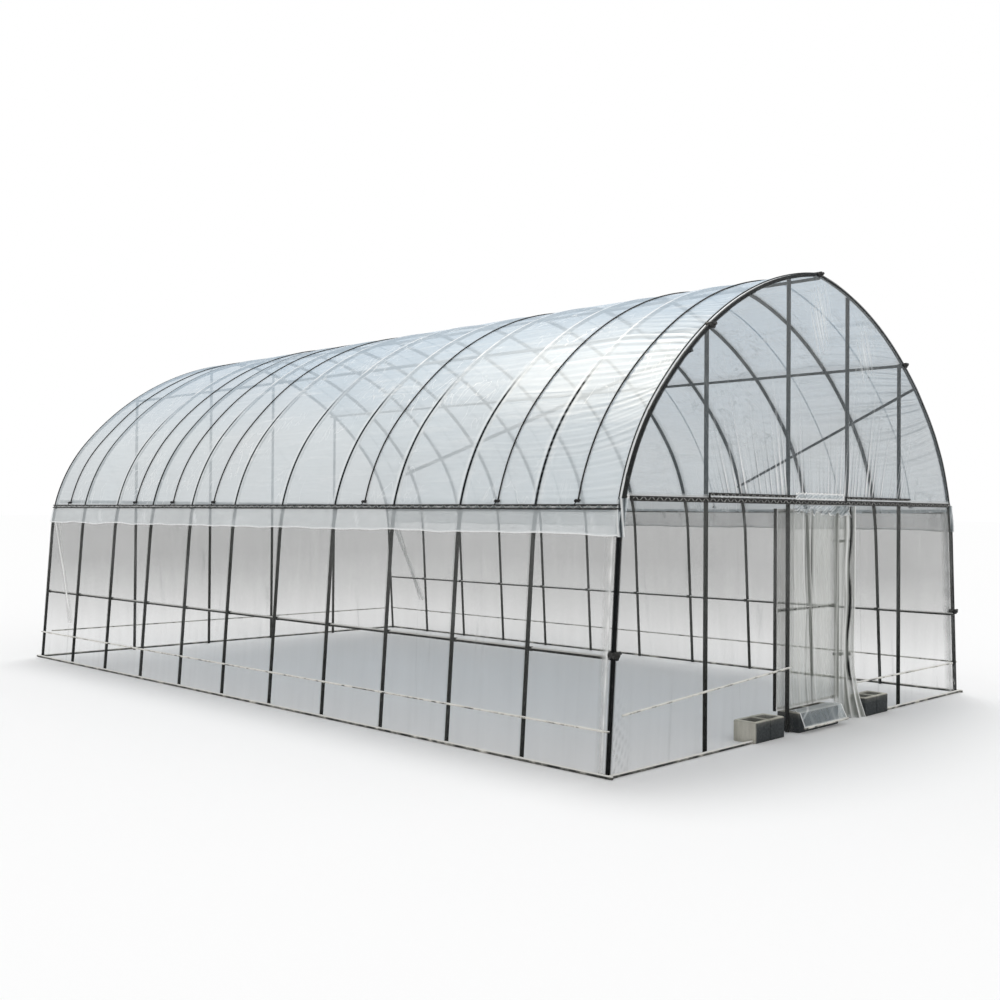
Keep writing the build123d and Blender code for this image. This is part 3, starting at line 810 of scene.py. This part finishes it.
def line_folds(y, s):
    """Tones on a side wall: pale on the turned-in, doubled edge by the front leg, painted highlights on long
    slanting folds in the last bay, with a line of painted shade beside the boldest, and on short ones under
    the channel, and painted dark over the front leg and the hoops, where the tubes show through."""
    edge = bell(y + 3.955, 0.016) * (0.85 + 0.3 * wall_waves(6 * s))
    down = np.clip(1.5 - s, 0, 1.1)
    bold, thin = y - 3.92 + 0.53 * down, y - 3.82 + 0.38 * down
    last = 1.3 * bell(bold, 0.02) + bell(thin, 0.013) - 0.6 * bell(bold + 0.035, 0.012)
    last = last * (y > 3.0) * (s > 0.42) * (0.75 + 0.25 * wall_waves(3 * s))
    short = np.exp(-(CHANNEL_S - s) / 0.12) * np.clip(wall_creases(y + 0.15 * s) - 0.4, 0, 1)
    over_leg = 0.9 * (y < -3.986) + 0.25 * (bay_place(y)[1] < 0.02)
    return np.clip(edge + last + 0.5 * short, -0.5, 1) - over_leg


# %% [markdown]
# Each side has three sheets: the wall, the flap over it, and a narrow tuck of film in the channel's mouth.
# The right side could be a Mirror modifier of the left. A loop over both sides keeps each a piece of its
# own, with its own flat size.

# %% Side sheets
LIP, FLAP_LONG = 0.0175, 0.16
TUCK_HALF, TUCK_END = 0.0054, 3.985
wall_rows = roof_rows[(roof_rows > -3.98) & (roof_rows < 3.99)]
near_edge, last_bay = [-FILM_END, -3.99, -3.984], np.arange(2.95, 3.95, 0.0125)
wall_rows = np.unique(np.concatenate([near_edge, wall_rows, last_bay, [FILM_END]]))
wall_y, wall_s = np.meshgrid(wall_rows, np.linspace(0, CHANNEL_S - 0.001, 61))
wall_folds = line_folds(wall_y, wall_s)

flap_y, flap_u = np.meshgrid(np.linspace(-FILM_END, FILM_END, 321), np.linspace(1, 0, 19))
flap_s = CHANNEL_S - LIP - flap_u * (0.158 + 0.009 * flap_waves(0.35 * flap_y))
ripple = flap_u**1.4 * (0.006 + 0.006 * flap_waves(flap_y))
flap_out = 0.0185 + 0.008 * np.clip(flap_u / 0.2, 0, 1) + ripple
flap_streaks = np.clip(flap_waves(flap_y + 0.5 * flap_u * FLAP_LONG) - 0.75, 0, 1) * np.sin(math.pi * flap_u)

tuck_over = CHANNEL_S + np.linspace(-TUCK_HALF, TUCK_HALF, 5)
tuck_y, tuck_s = np.meshgrid(np.linspace(-TUCK_END, TUCK_END, 161), tuck_over)
tuck_out = 0.0235 + 0.0012 * wall_creases(tuck_y)
tuck_folds = np.clip(0.2 + 0.7 * wall_creases(2 * tuck_y), -0.8, 0.8)

for side, side_name in ((-1, "left"), (1, "right")):
    wall = sheet_piece(
        f"{side_name}_wall_sheet", on_side(wall_s, wall_y, wall_offset(wall_y, wall_s), side), wall_skin,
        [f"{side_name}_side_film"], edges="", fold_tone_and_shading=wall_folds[:, ::side],
    )
    flap = sheet_piece(
        f"{side_name}_hem_flap", on_side(flap_s, flap_y, flap_out, side), flap_skin,
        ["hem_flaps"] if side < 0 else (), hem_width=0.008, edges="b", fold_tone_and_shading=flap_streaks[:, ::side],
    )
    tuck = sheet_piece(
        f"{side_name}_channel_tuck", on_side(tuck_s, tuck_y, tuck_out, side), loose_skin, edges="",
        fold_tone_and_shading=tuck_folds[:, ::-side],
    )

# %% [markdown]
# ## Gable film
# The front wall is three sheets: one in the gable above the front channel, and one on each side of the
# door. The gable film is gathered where the channel grips it, so pleats fan up from it and fade. A cloth
# pinned along one edge could find its own pleats. Here a wavy line bends along the fan, so that they stand
# where they should.

# %% Gable
FRONT_Y, REAR_Y = -HALF_LENGTH - 0.0155, HALF_LENGTH + 0.0155
ON_TUBE = -0.95
gable_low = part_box("front_gable_film")[0][2]
edge_s = np.linspace(0, HALF_HOOP - 0.03, 400)
edge_x, edge_z = hoop(2 * HALF_HOOP - edge_s, 0.013)
rim_x, rim_z = hoop(2 * HALF_HOOP - edge_s, -0.014)
pleats, streaks, crumple = waves(0.03, 0.075, 10), waves(0.1, 0.4), waves(0.03, 0.1)

widest = np.interp(gable_low + 0.004, edge_z, edge_x)
low_part, middle, top_part = np.linspace(0, 0.3, 40), np.linspace(0.3, 0.93, 41), np.linspace(0.93, 1, 19)
share = np.concatenate([low_part, middle[1:], top_part[1:]])
x, share = np.meshgrid(np.linspace(-widest, widest, 841), share)
rise = share * (np.interp(np.abs(x), edge_x[::-1], edge_z[::-1]) - gable_low)
z = gable_low + rise
fan = 0.1 + (x - 0.1) / (1 + 0.3 * rise)
reach_up = np.clip(0.32 + 0.16 * streaks(2 * fan), 0.08, 1)
between_posts = np.clip((1.5 - np.abs(fan - 0.03)) / 0.3, 0.1, 1)
pleat = between_posts * np.exp(-rise / reach_up) * pleats(fan)
y = FRONT_Y + 0.006 * (np.exp(-rise / 0.35) + pleat) * np.clip(rise / 0.02, 0.3, 1)
y = np.maximum(y, FRONT_Y) + 0.004 * (1 + streaks(0.5 * x + z)) * np.clip(rise, 0, 0.4)

# Two crumpled patches high on the gable are painted pale as glare, a painted highlight. The pleats are
# painted pale and dark in turn, painted light and shade, and film over the hoop is painted dark where the
# tube shows through.
glare_patches = bell(x - 0.02, 0.13) * bell(z - 3.1, 0.24) + 0.8 * bell(x - 0.74, 0.14) * bell(z - 2.9, 0.2)
folds = 2.0 * np.sign(pleat) * np.abs(pleat) ** 1.2
folds += glare_patches * np.clip(0.45 + 0.6 * crumple(x + 0.4 * z), 0, 1)
on_tube = (np.abs(x) > np.interp(z, rim_z, rim_x)) | (z > rim_z[-1])
gable = sheet_piece(
    "gable_sheet", xyz(x, y, z), gable_skin, ["front_gable_film"], edges="b", hem_width=0.03,
    fold_tone_and_shading=np.where(on_tube, ON_TUBE, np.clip(folds, -0.7, 0.9)), laid_out=(x + widest, rise),
)

# %% [markdown]
# ## Walls beside the door and at the rear
# Beside the door the film reaches from the jamb to the leaning leg, and its foot stands on a sill block or
# on the ground. The rear wall is one plain sheet. Each is a grid whose outer edge follows the hoop, so no
# edge has to be trimmed with a Boolean.

# %% End walls
BLOCK_TOP, GROUND = 0.1525, 0.002


def front_wall(name, node_name, inner_x, side, block):
    """Wall film beside the door: from the jamb out to the leaning leg, its foot on the ground or on the
    sill block, with shallow streaks that run up it."""
    a = np.linspace(0, 1, 201)[None]
    wide, tall = HALF_WIDTH - side * inner_x, gable_low
    foot_x = inner_x + a * side * wide
    foot = np.where((foot_x > block[0]) & (foot_x < block[1]), BLOCK_TOP, GROUND)
    z = foot + np.linspace(0, 1, 61)[:, None] * (tall - 0.001 - foot)
    x = inner_x + a * (side * np.interp(z, edge_z, edge_x) - inner_x)
    y = FRONT_Y + 0.006 * np.sin(math.pi * a) * (1 + 0.6 * streaks(x + 0.1 * z)) * np.sin(math.pi * z / 1.72)
    corner = bell(a - 1, 0.06) * bell(z, 0.35) * np.clip(crumple(x + z), 0, 1)
    lines = np.clip(streaks(1.7 * x + 0.05 * z) - 0.85, 0, 1) * np.clip(pleats(x + 0.1 * z), 0, 1)
    folds = np.clip(0.8 * corner + 0.7 * lines, 0, 1)
    folds = np.where(side * x > np.interp(z, rim_z, rim_x), ON_TUBE, folds)
    piece = sheet_piece(
        name, xyz(x, y, z)[:, ::side], wall_skin, [node_name], edges="", fold_tone_and_shading=folds[:, ::side]
    )


front_wall("front_left_sheet", "front_film_left", -0.356, -1, (-0.937, -0.543))
front_wall("front_right_sheet", "front_film_right", 0.511, 1, (0.678, 1.072))

across = np.linspace(-1, 1, 201)
up = np.interp(np.linspace(0, 1, 101) ** 0.8, (0, 1), (GROUND, edge_z[-1]))
half = np.interp(up, edge_z, edge_x)
x, z = half[:, None] * across, up[:, None]
y = REAR_Y - 0.005 * (1 + streaks(x + 0.1 * z)) * np.cos(math.pi / 2 * across) ** 2
rear = sheet_piece("rear_sheet", xyz(x, y, z)[:, ::-1], wall_skin, ["rear_film"], edges="")

# %% [markdown]
# ## Door leaf
# The leaf is a frame of thin tube with film tied over its outer face. The film is slack, so it hangs in
# soft vertical folds that go flat where a rail holds it. It rides on the door, and its folds go inwards
# only, so that it swings clear of the jambs.

# %% Door
STILE, LEAF_MID = 0.0125, 0.905
low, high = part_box("door_stiles")
leaf_y = (low[1] + high[1]) / 2
stile_xs = (low[0] + STILE, high[0] - STILE)
shapes = [rod((x, leaf_y, low[2]), (x, leaf_y, high[2]), STILE, 14) for x in stile_xs]
put("door_stile_tubes", *gathered(shapes), steel, "tube", "door", ["door_stiles"])
rail_zs = (low[2] + STILE, LEAF_MID, high[2] - STILE)
shapes = [rod((stile_xs[0] + STILE, leaf_y, z), (stile_xs[1] - STILE, leaf_y, z), STILE) for z in rail_zs]
put("door_rail_tubes", *gathered(shapes), rail_steel, "tube", "door", ["door_rails"])
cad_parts["door_hinges"].material_slots[0].material = steel

low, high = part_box("door_film")
x, z = np.meshgrid(np.linspace(low[0], high[0], 141), np.linspace(low[2], high[2], 121))
between = np.abs(np.sin(math.pi * np.interp(z, rail_zs, (0, 1, 2))))
door_waves = waves(0.05, 0.2)
deep = bell(x - 0.037, 0.014) + 0.7 * bell(x + 0.038, 0.017)
slack = 0.008 * (1 + door_waves(x + 0.03 * z)) + 0.012 * deep
y = high[1] - 0.0012 + between**0.5 * np.clip(slack, 0, 0.03)
shade = np.clip(0.7 * door_waves(1.5 * x + 0.1 * z) - 0.35, 0, 0.5) - 0.85 * np.clip(deep, 0, 1)
door_sheet = sheet_piece(
    "door_sheet", xyz(x, y, z), door_skin, ["door_film"], "door", edges="tbl",
    fold_tone_and_shading=shade * (0.6 + 0.4 * between),
)

# %% [markdown]
# ## Concrete
# The sill blocks are gritty concrete. Their tops and the end that faces the light are painted pale as if
# sunlit, and the other faces dark slate as if in shade: painted light and shade. A second material on the
# upper faces could do it too. The direction of the face, read from its normal, mixes the pale in without
# a hard border.

# %% Concrete finish
LIT_END_X = -0.8
concrete, tree, shader = finish("block_concrete")
grit = noise(tree, 55.0, detail=8.0, roughness=0.75)
stain = noise(tree, 7.0, (1, 1, 0.35), detail=4.0)
way = axes(tree, "ShaderNodeNewGeometry", "Normal")
free_end = calc(tree, "LESS_THAN", axes(tree, "ShaderNodeTexCoord", "Object")["X"], LIT_END_X)
lit_end = calc(tree, "MULTIPLY", calc(tree, "MULTIPLY", way["X"], -0.75), free_end, clamp=True)
# Faces that look up and the free end towards the light get painted sunlight; the rest is painted shade.
sunlit_share = calc(tree, "MULTIPLY", calc(tree, "MAXIMUM", way["Z"], lit_end), 0.9, clamp=True)
shaded_stops = [(0.32, (0.012, 0.016, 0.018)), (0.5, (0.03, 0.036, 0.039)), (0.72, (0.075, 0.08, 0.08))]
sunlit_stops = [(0.35, (0.5, 0.48, 0.4)), (0.65, (0.97, 0.94, 0.83))]
colour = mix(tree, sunlit_share, ramp(tree, grit, shaded_stops), ramp(tree, stain, sunlit_stops))
feed(tree, shader, Base_Color=colour, Roughness=0.9)
bump(tree, shader, grit, 0.6, 0.004)
print("concrete finish:", concrete.name)

# %% [markdown]
# ## Sill blocks
# Hollow concrete blocks lie at the foot of the door. The CAD blocks have the true size. Here each half of
# a block is a stack of rounded rings: up the outside, over the worn edge, across the rim, and down into
# the pocket. Slow waves roughen it, because old concrete is chipped.

# %% Blocks
BLOCKS = ((-0.74, 0.39), (-0.05, 0.6), (0.875, 0.39))
low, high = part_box("sill_blocks")
WALL, BLOCK_HIGH, DEPTH = 0.032, 0.15, high[1] - low[1]
ring_turn = np.linspace(0, 2 * math.pi, 96, endpoint=False)


def block_half(left, right, pocket_left, pocket_right):
    """Rings of one half of a block. A ring is a squarish oval, |cos|^0.12 by |sin|^0.12, scaled to the
    outer outline or the pocket's, and its height goes up outside and down inside."""
    c, s = np.cos(ring_turn), np.sin(ring_turn)
    oval = np.stack([np.sign(c) * np.abs(c) ** 0.12, np.sign(s) * np.abs(s) ** 0.12], -1)
    outer = ((left + right) / 2, (right - left) / 2, DEPTH / 2)
    inner = ((pocket_left + pocket_right) / 2, (pocket_right - pocket_left) / 2, DEPTH / 2 - WALL)
    outside = [
        (0.003, 0.0), (0.0, 0.004), (0.0, 0.05), (0.0, 0.1), (0.0, BLOCK_HIGH - 0.011),
        (0.001, BLOCK_HIGH - 0.005), (0.006, BLOCK_HIGH),
    ]
    inside = [(-0.005, BLOCK_HIGH), (0.0, BLOCK_HIGH - 0.006), (0.002, 0.08), (0.004, WALL)]
    rings = [(outer, *ring) for ring in outside] + [(inner, *ring) for ring in inside]
    points = [
        xyz(mid + oval[:, 0] * (a - inset), oval[:, 1] * (b - inset), z) for (mid, a, b), inset, z in rings
    ]
    sides = len(ring_turn)
    last = sides * (len(rings) - 1)
    ends = [list(range(sides - 1, -1, -1)), list(range(last, last + sides))]
    return np.concatenate(points), grid_faces(len(rings), sides, True).tolist() + ends


chips = waves(0.03, 0.12, 12)
shapes = []
for block_x, long in BLOCKS:
    middle = (block_x, (low[1] + high[1]) / 2, 0)
    for side in (-1, 1):
        outline = sorted((side * long / 2, side * 0.0002))
        pocket = sorted((side * (long / 2 - WALL), side * WALL / 2))
        points, faces = block_half(*outline, *pocket)
        rough = 0.0012 * np.stack([chips(points @ way) for way in ((1, 3, 2), (2, 1, 3), (3, 2, 1))], -1)
        rough[:, 2] = np.where(points[:, 2] > 0.1, -np.abs(rough[:, 2]), 0)
        worn = points - np.abs(rough) * np.sign(points) * (1, 1, 0) + rough * (0, 0, 1)
        shapes.append((worn + middle, faces))
put("hollow_blocks", *gathered(shapes), concrete, "concrete", stands_for=["sill_blocks"])

# %% [markdown]
# ## Loose film at the front channel
# Spare film hangs wherever it was not cut: a crumpled valance over the door, a tuft between the two short
# channels, and a narrow selvage under each of them. Sculpting could crumple them. A grid whose rows are
# pleated by a wavy line has the same look, and its flat size is known.

# %% Valance, tuft and selvages
head_waves, jamb_waves, sill_waves = waves(0.04, 0.12), waves(0.05, 0.16), waves(0.06, 0.2)
u, v = np.meshgrid(np.linspace(0, 1, 161), np.linspace(1, 0, 21))
x = -0.35 + 0.86 * u
z = 1.697 - v * (0.06 + 0.018 * sill_waves(1.3 * x) + 0.03 * u)
y = -4.004 + 0.016 * v * head_waves(x + 0.1 * v) + 0.006 * head_waves(3 * x + v)
shade = np.clip(1.1 * head_waves(x + 0.1 * v) * v + 0.6 * head_waves(2 * x + 0.3 * v), -0.7, 0.9)
valance = sheet_piece("door_head_valance", xyz(x, y, z), loose_skin, fold_tone_and_shading=shade)

x = -0.345 + 0.72 * u
z = 1.782 - v * 0.052 + 0.004 * head_waves(2 * x)
y = -4.0215 - 0.006 * v * np.clip(1 + head_waves(x), 0, 2)
shade = np.clip(0.1 + 0.5 * head_waves(1.5 * x + 0.2 * v), -0.2, 0.7)
tuft = sheet_piece("channel_tuft", xyz(x, y, z), loose_skin, fold_tone_and_shading=shade)

for side_name, start, end in (("left", -1.465, -0.345), ("right", 0.415, 1.535)):
    u, v = np.meshgrid(np.linspace(start, end, 161), np.linspace(1, 0, 5))
    z = 1.7425 - v * (0.0115 + 0.002 * head_waves(2 * u))
    y = -4.0305 - 0.002 * v * np.clip(1 + head_waves(u), 0, 2)
    edge = sheet_piece(f"{side_name}_channel_selvage", xyz(u, y, z), loose_skin, edges="", fold_tone_and_shading=0.6)

# %% [markdown]
# ## Strip at the right jamb
# A gathered strip of film closes the gap between the leaf and the right jamb and flares out on the ground.
# Its section, a line of few points from the leaf round the jamb to the outside, is the same all the way
# up. It is carried down as a grid, and a flare is added near the foot.

# %% Jamb strip
HEAD, STRIP_LONG = 1.69, 1.687
across_u = np.array([0, 0.33, 0.53, 0.72, 0.88, 1.0])
section_x = np.array([0.335, 0.42, 0.47, 0.515, 0.55, 0.572])
section_y = np.array([-3.962, -3.966, -3.982, -4.001, -4.008, -4.0205])
u, v = np.meshgrid(np.linspace(0, 1, 101), np.linspace(1, 0, 101))
flare = np.clip((v - 0.76) / 0.24, 0, 1) ** 1.4 * u
wander = (0.006 * np.sin(5 * v + 1) + 0.003 * np.sin(17 * v)) * u
pleat = jamb_waves(0.4 * u + 0.06 * v)
x = np.interp(u, across_u, section_x) + wander + 0.1 * flare + 0.012 * flare * jamb_waves(0.4 * v)
z = HEAD - v * STRIP_LONG
y = np.interp(u, across_u, section_y) - 0.045 * flare + (0.003 + 0.014 * flare) * pleat
by_jamb = bell(u - 0.72 - 9 * wander, 0.05) * (1.0 + 0.3 * sill_waves(0.5 * v + 0.1 * u))
by_jamb *= np.clip((0.86 - v) / 0.1, 0.1, 1)
beside = bell(u - 0.85 - 9 * wander, 0.05) + bell(u - 0.6 - 9 * wander, 0.04)
shade = np.clip(0.5 * pleat + 0.8 * beside - 1.5 * by_jamb, -1, 0.9)
strip = sheet_piece("jamb_strip", xyz(x, y, z), door_skin, fold_tone_and_shading=shade, hem_width=0.006, edges="r")

# %% [markdown]
# ## Flap over the middle block
# A strip of film lies over the middle block and leans out in front of it, with a thin bar in its lower
# hem. Its side view is a line of five points from the back of the block to the hem, carried along the
# block as a grid.

# %% Sill flap
SPARE = 0.02
down_v = np.array([0, 0.38, 0.45, 0.65, 1.0])
side_y = np.array([-3.958, -4.05, -4.062, -4.078, -4.108])
side_z = np.array([0.1535, 0.1535, 0.149, 0.11, 0.042])
low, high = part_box("sill_flap")
flap_wide = high[0] - low[0] + SPARE
u, v = np.meshgrid(np.linspace(0, 1, 81), np.linspace(1, 0, 41))
on_block = v < down_v[1]
x = low[0] + 0.005 + u * flap_wide + 0.02 * v * (u - 0.3)
y = np.interp(v, down_v, side_y) + 0.006 * np.clip(v - 0.5, 0, 1) * sill_waves(x + 0.1 * v)
z = np.interp(v, down_v, side_z)
z = z + 0.003 * on_block * (1 + sill_waves(x + v)) * np.sin(math.pi * v / down_v[1])
shade = np.where(v < down_v[2], 0.35, 0.0) + 0.6 * np.clip(sill_waves(x + 0.4 * v) - 0.5, 0, 1)
sill = sheet_piece("sill_sheet", xyz(x, y, z), loose_skin, ["sill_flap"], fold_tone_and_shading=shade, edges="blr")
hem = xyz(x, y, z)[0]
put("sill_hem_bar", *wrapped_rod(hem[0], hem[-1], 0.009), wrapped, "film_wrapped_tube")

# %% [markdown]
# ## Film wound round the front legs
# At the front corners the end of the roof film is wound round the leg under the channel and crumples
# there. It is a grid of turns round the leg and height, with a wavy radius.

# %% Corner wraps
WRAP_FOOT, WRAP_HIGH = 1.47, 0.24
turn, rise = np.meshgrid(np.linspace(math.radians(110), math.radians(330), 49), np.linspace(0, 1, 41))
corner_waves = waves(0.04, 0.14)
height = WRAP_FOOT + WRAP_HIGH * rise
leg_x = np.interp(height, hoop_z[:RIDGE_POINT + 1], hoop_x[:RIDGE_POINT + 1])
crumpled = corner_waves(0.05 * turn + 0.35 * height)
around = 0.026 + 0.007 * crumpled + 0.01 * np.abs(rise - 0.5)
shade = np.clip(1.5 * crumpled, -0.9, 0.8)
for side, side_name in ((1, "left"), (-1, "right")):
    grid = xyz(side * (leg_x + around * np.cos(turn)), -HALF_LENGTH + around * np.sin(turn), height)
    wrap = sheet_piece(
        f"{side_name}_corner_wrap", grid[:, ::side], loose_skin, edges="", fold_tone_and_shading=shade[:, ::side]
    )

# %% [markdown]
# ## Press ropes
# Thin black ropes go over the roof film and pull it into valleys. Each ends above the side channel in a
# knot and a wire hook. The rope is a thin tube on the film's own offset, the knot a tube along a trefoil
# curve.

# %% Ropes
rope_black, tree, shader = finish("rope_black")
fibre = noise(tree, 160.0, detail=3.0)
colour = ramp(tree, fibre, [(0.35, (0.004, 0.004, 0.004)), (0.65, (0.03, 0.03, 0.032))])
feed(tree, shader, Base_Color=colour, Roughness=0.8)
bump(tree, shader, fibre, 0.5, 0.002)

ROPE, HOOK = 0.0055, 0.003
KNOT_S, HOOK_S = CHANNEL_S + 0.042, CHANNEL_S + 0.012
rope_t = np.linspace(KNOT_S, 2 * HALF_HOOP - KNOT_S, 121)
w = np.linspace(0, 2 * math.pi, 49)
trefoil = 0.0062 * xyz(np.sin(w) + 2 * np.sin(2 * w), np.cos(w) - 2 * np.cos(2 * w), -np.sin(3 * w))
knot_x, knot_z = hoop(KNOT_S, 0.016)
hook_x, hook_z = hoop(HOOK_S, 0.033)
shapes = []
for bay in ROPE_BAYS:
    y = -HALF_LENGTH + (bay - 0.5) * BAY
    x, z = hoop(rope_t, roof_offset(np.full_like(rope_t, y), rope_t) + ROPE + 0.002)
    shapes.append(tube(xyz(x, y, z), ROPE, 6, (0, 1, 0)))
    halfway = ((knot_x + hook_x) / 2, y + 0.006, (knot_z + hook_z) / 2)
    hook = np.array([(knot_x, y, knot_z), halfway, (hook_x, y + 0.01, hook_z)])
    for side in (-1, 1):
        shapes.append(tube(trefoil + (side * -knot_x, y, knot_z), ROPE, 6, (0.1, 0.2, 1)))
        shapes.append(tube(hook * (-side, 1, 1), HOOK, 6, (0, 1, 0)))
put("press_rope_lines", *gathered(shapes), rope_black, "rope", stands_for=["press_ropes"])

# %% [markdown]
# ## Clamps
# Rails cross the hoops under a clamp: a band round the rail with a bolt through its ears. They repeat over
# fifty times, so each is a short ring of few faces. The ones on the front hoop stand out in front of the
# film and are larger: a boss, a bolt across it and a nut in front.

# %% Clamps
BAND, BAND_HALF = 0.0155, 0.022
shapes = [
    rod((x, y - BAND_HALF, z), (x, y + BAND_HALF, z), BAND, 8)
    for places in rails.values() for x, z in places for y in HOOP_Y[1:]
]
put("rail_clamps", *gathered(shapes), steel, "tube")

BOSS, BOLT, NUT = 0.023, 0.011, 0.009
clamp_s = (along(35.5), 0.745)
marks = [hoop(HALF_HOOP)] + [hoop(t) for s in clamp_s for t in (s, 2 * HALF_HOOP - s)]
shapes = []
for x, z in marks:
    shapes.append(rod((x, -4.034, z), (x, -3.97, z), BOSS, 10))
    shapes.append(rod((x - 0.035, -4.028, z - 0.01), (x + 0.035, -4.028, z + 0.014), BOLT, 8))
    shapes.append(rod((x, -4.048, z), (x, -4.03, z), NUT, 6))
put("front_clamps", *gathered(shapes), channel_steel, "tube")

# %% [markdown]
# ## Floor
# The floor is a plain white ground that takes the soft shadow of the tunnel. It is one large face, so that
# no edge of it comes into view, and it is declared as stage, because it is no piece of the tunnel.

# %% Floor
REACH = 400.0
floor_paint, tree, shader = finish("floor_paint")
feed(tree, shader, Base_Color=(0.97, 0.97, 0.97, 1), Roughness=1.0, Specular_IOR_Level=0.0)
mesh = bpy.data.meshes.new("floor")
corners = [(-REACH, -REACH, 0), (REACH, -REACH, 0), (REACH, REACH, 0), (-REACH, REACH, 0)]
mesh.from_pydata(corners, [], [(0, 1, 2, 3)])
mesh.materials.append(floor_paint)
floor = bpy.data.objects.new("floor", mesh)
bpy.context.scene.collection.objects.link(floor)
floor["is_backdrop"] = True
print("floor of", 2 * REACH, "m")

# %% [markdown]
# ## Light
# The sky lights everything evenly and shows as plain white, a broad sun from behind shapes the tubes, and
# one lamp behind the ridge gives the film its glare. A picture of a sky could light it too. Plain lamps
# are easier to set, and Light Path keeps the white that the camera sees apart from the light on the
# tunnel.

# %% Light
SKY_LIGHT, SUN_LIGHT, GLARE_LIGHT = 0.67, 1.17, 430.0
world = bpy.data.worlds.new("sky")
bpy.context.scene.world = world
world.use_nodes = True
tree = world.node_tree
ray = tree.nodes.new("ShaderNodeLightPath").outputs
seen = calc(tree, "MAXIMUM", ray["Is Camera Ray"], ray["Is Glossy Ray"])
seen = calc(tree, "MAXIMUM", seen, ray["Is Transmission Ray"])
level = node(tree, "ShaderNodeMapRange", Value=seen, To_Min=SKY_LIGHT, To_Max=1.0).outputs[0]
feed(tree, tree.nodes["Background"], Color=(1, 1, 1, 1), Strength=level)


def lamp(name, kind, place, towards, **settings):
    """A lamp at a place, turned towards a point."""
    light = bpy.data.lights.new(name, kind)
    for key, value in settings.items():
        setattr(light, key, value)
    made = bpy.data.objects.new(name, light)
    made.location = place
    made.rotation_euler = (Vector(place) - Vector(towards)).to_track_quat("Z", "Y").to_euler()
    bpy.context.scene.collection.objects.link(made)
    return made


lamp("sun", "SUN", (5.4, 4.4, 18), (0, 0, 0), energy=SUN_LIGHT, angle=math.radians(22))
glare = lamp(
    "glare", "AREA", (-0.3, 3.5, 11.0), (-1.8, -3.5, 2.6), energy=GLARE_LIGHT, shape="ELLIPSE",
    size=6.0, size_y=3.0, color=(1.0, 0.92, 0.78),
)
glare.visible_diffuse = False
print("sky", SKY_LIGHT, "sun", SUN_LIGHT, "glare", GLARE_LIGHT)

# %% [markdown]
# ## Camera
# The camera stands where the photograph was taken from, at eye height off the near front corner. It could
# be aimed with a Track To constraint. The three turns, yaw, pitch and roll, were fitted to the photograph,
# so its matrix is built from them.

# %% Camera
EYE, LENS = (-7.983, -8.491, 1.608), 41.49
yaw, pitch, roll = (math.radians(angle) for angle in (45.263, 0.688, 0.406))
camera = bpy.data.objects.new("camera", bpy.data.cameras.new("camera"))
bpy.context.scene.collection.objects.link(camera)
bpy.context.scene.camera = camera
ahead = np.array([math.sin(yaw) * math.cos(pitch), math.cos(yaw) * math.cos(pitch), math.sin(pitch)])
level_right = np.array([math.cos(yaw), -math.sin(yaw), 0])
level_up = np.cross(level_right, ahead)
right = level_right * math.cos(roll) + level_up * math.sin(roll)
up = level_up * math.cos(roll) - level_right * math.sin(roll)
rows = [(*row, place) for row, place in zip(np.stack([right, up, -ahead], 1), EYE)]
camera.matrix_world = Matrix([*rows, (0, 0, 0, 1)])
camera.data.sensor_width = 36.0
camera.data.lens = LENS
camera.data.clip_end = 2000.0
bpy.context.scene.view_settings.view_transform = "Standard"
print("camera at", EYE, "with a lens of", LENS, "mm")

# %% Size
low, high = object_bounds()
print("visual box", tuple(low), tuple(high))
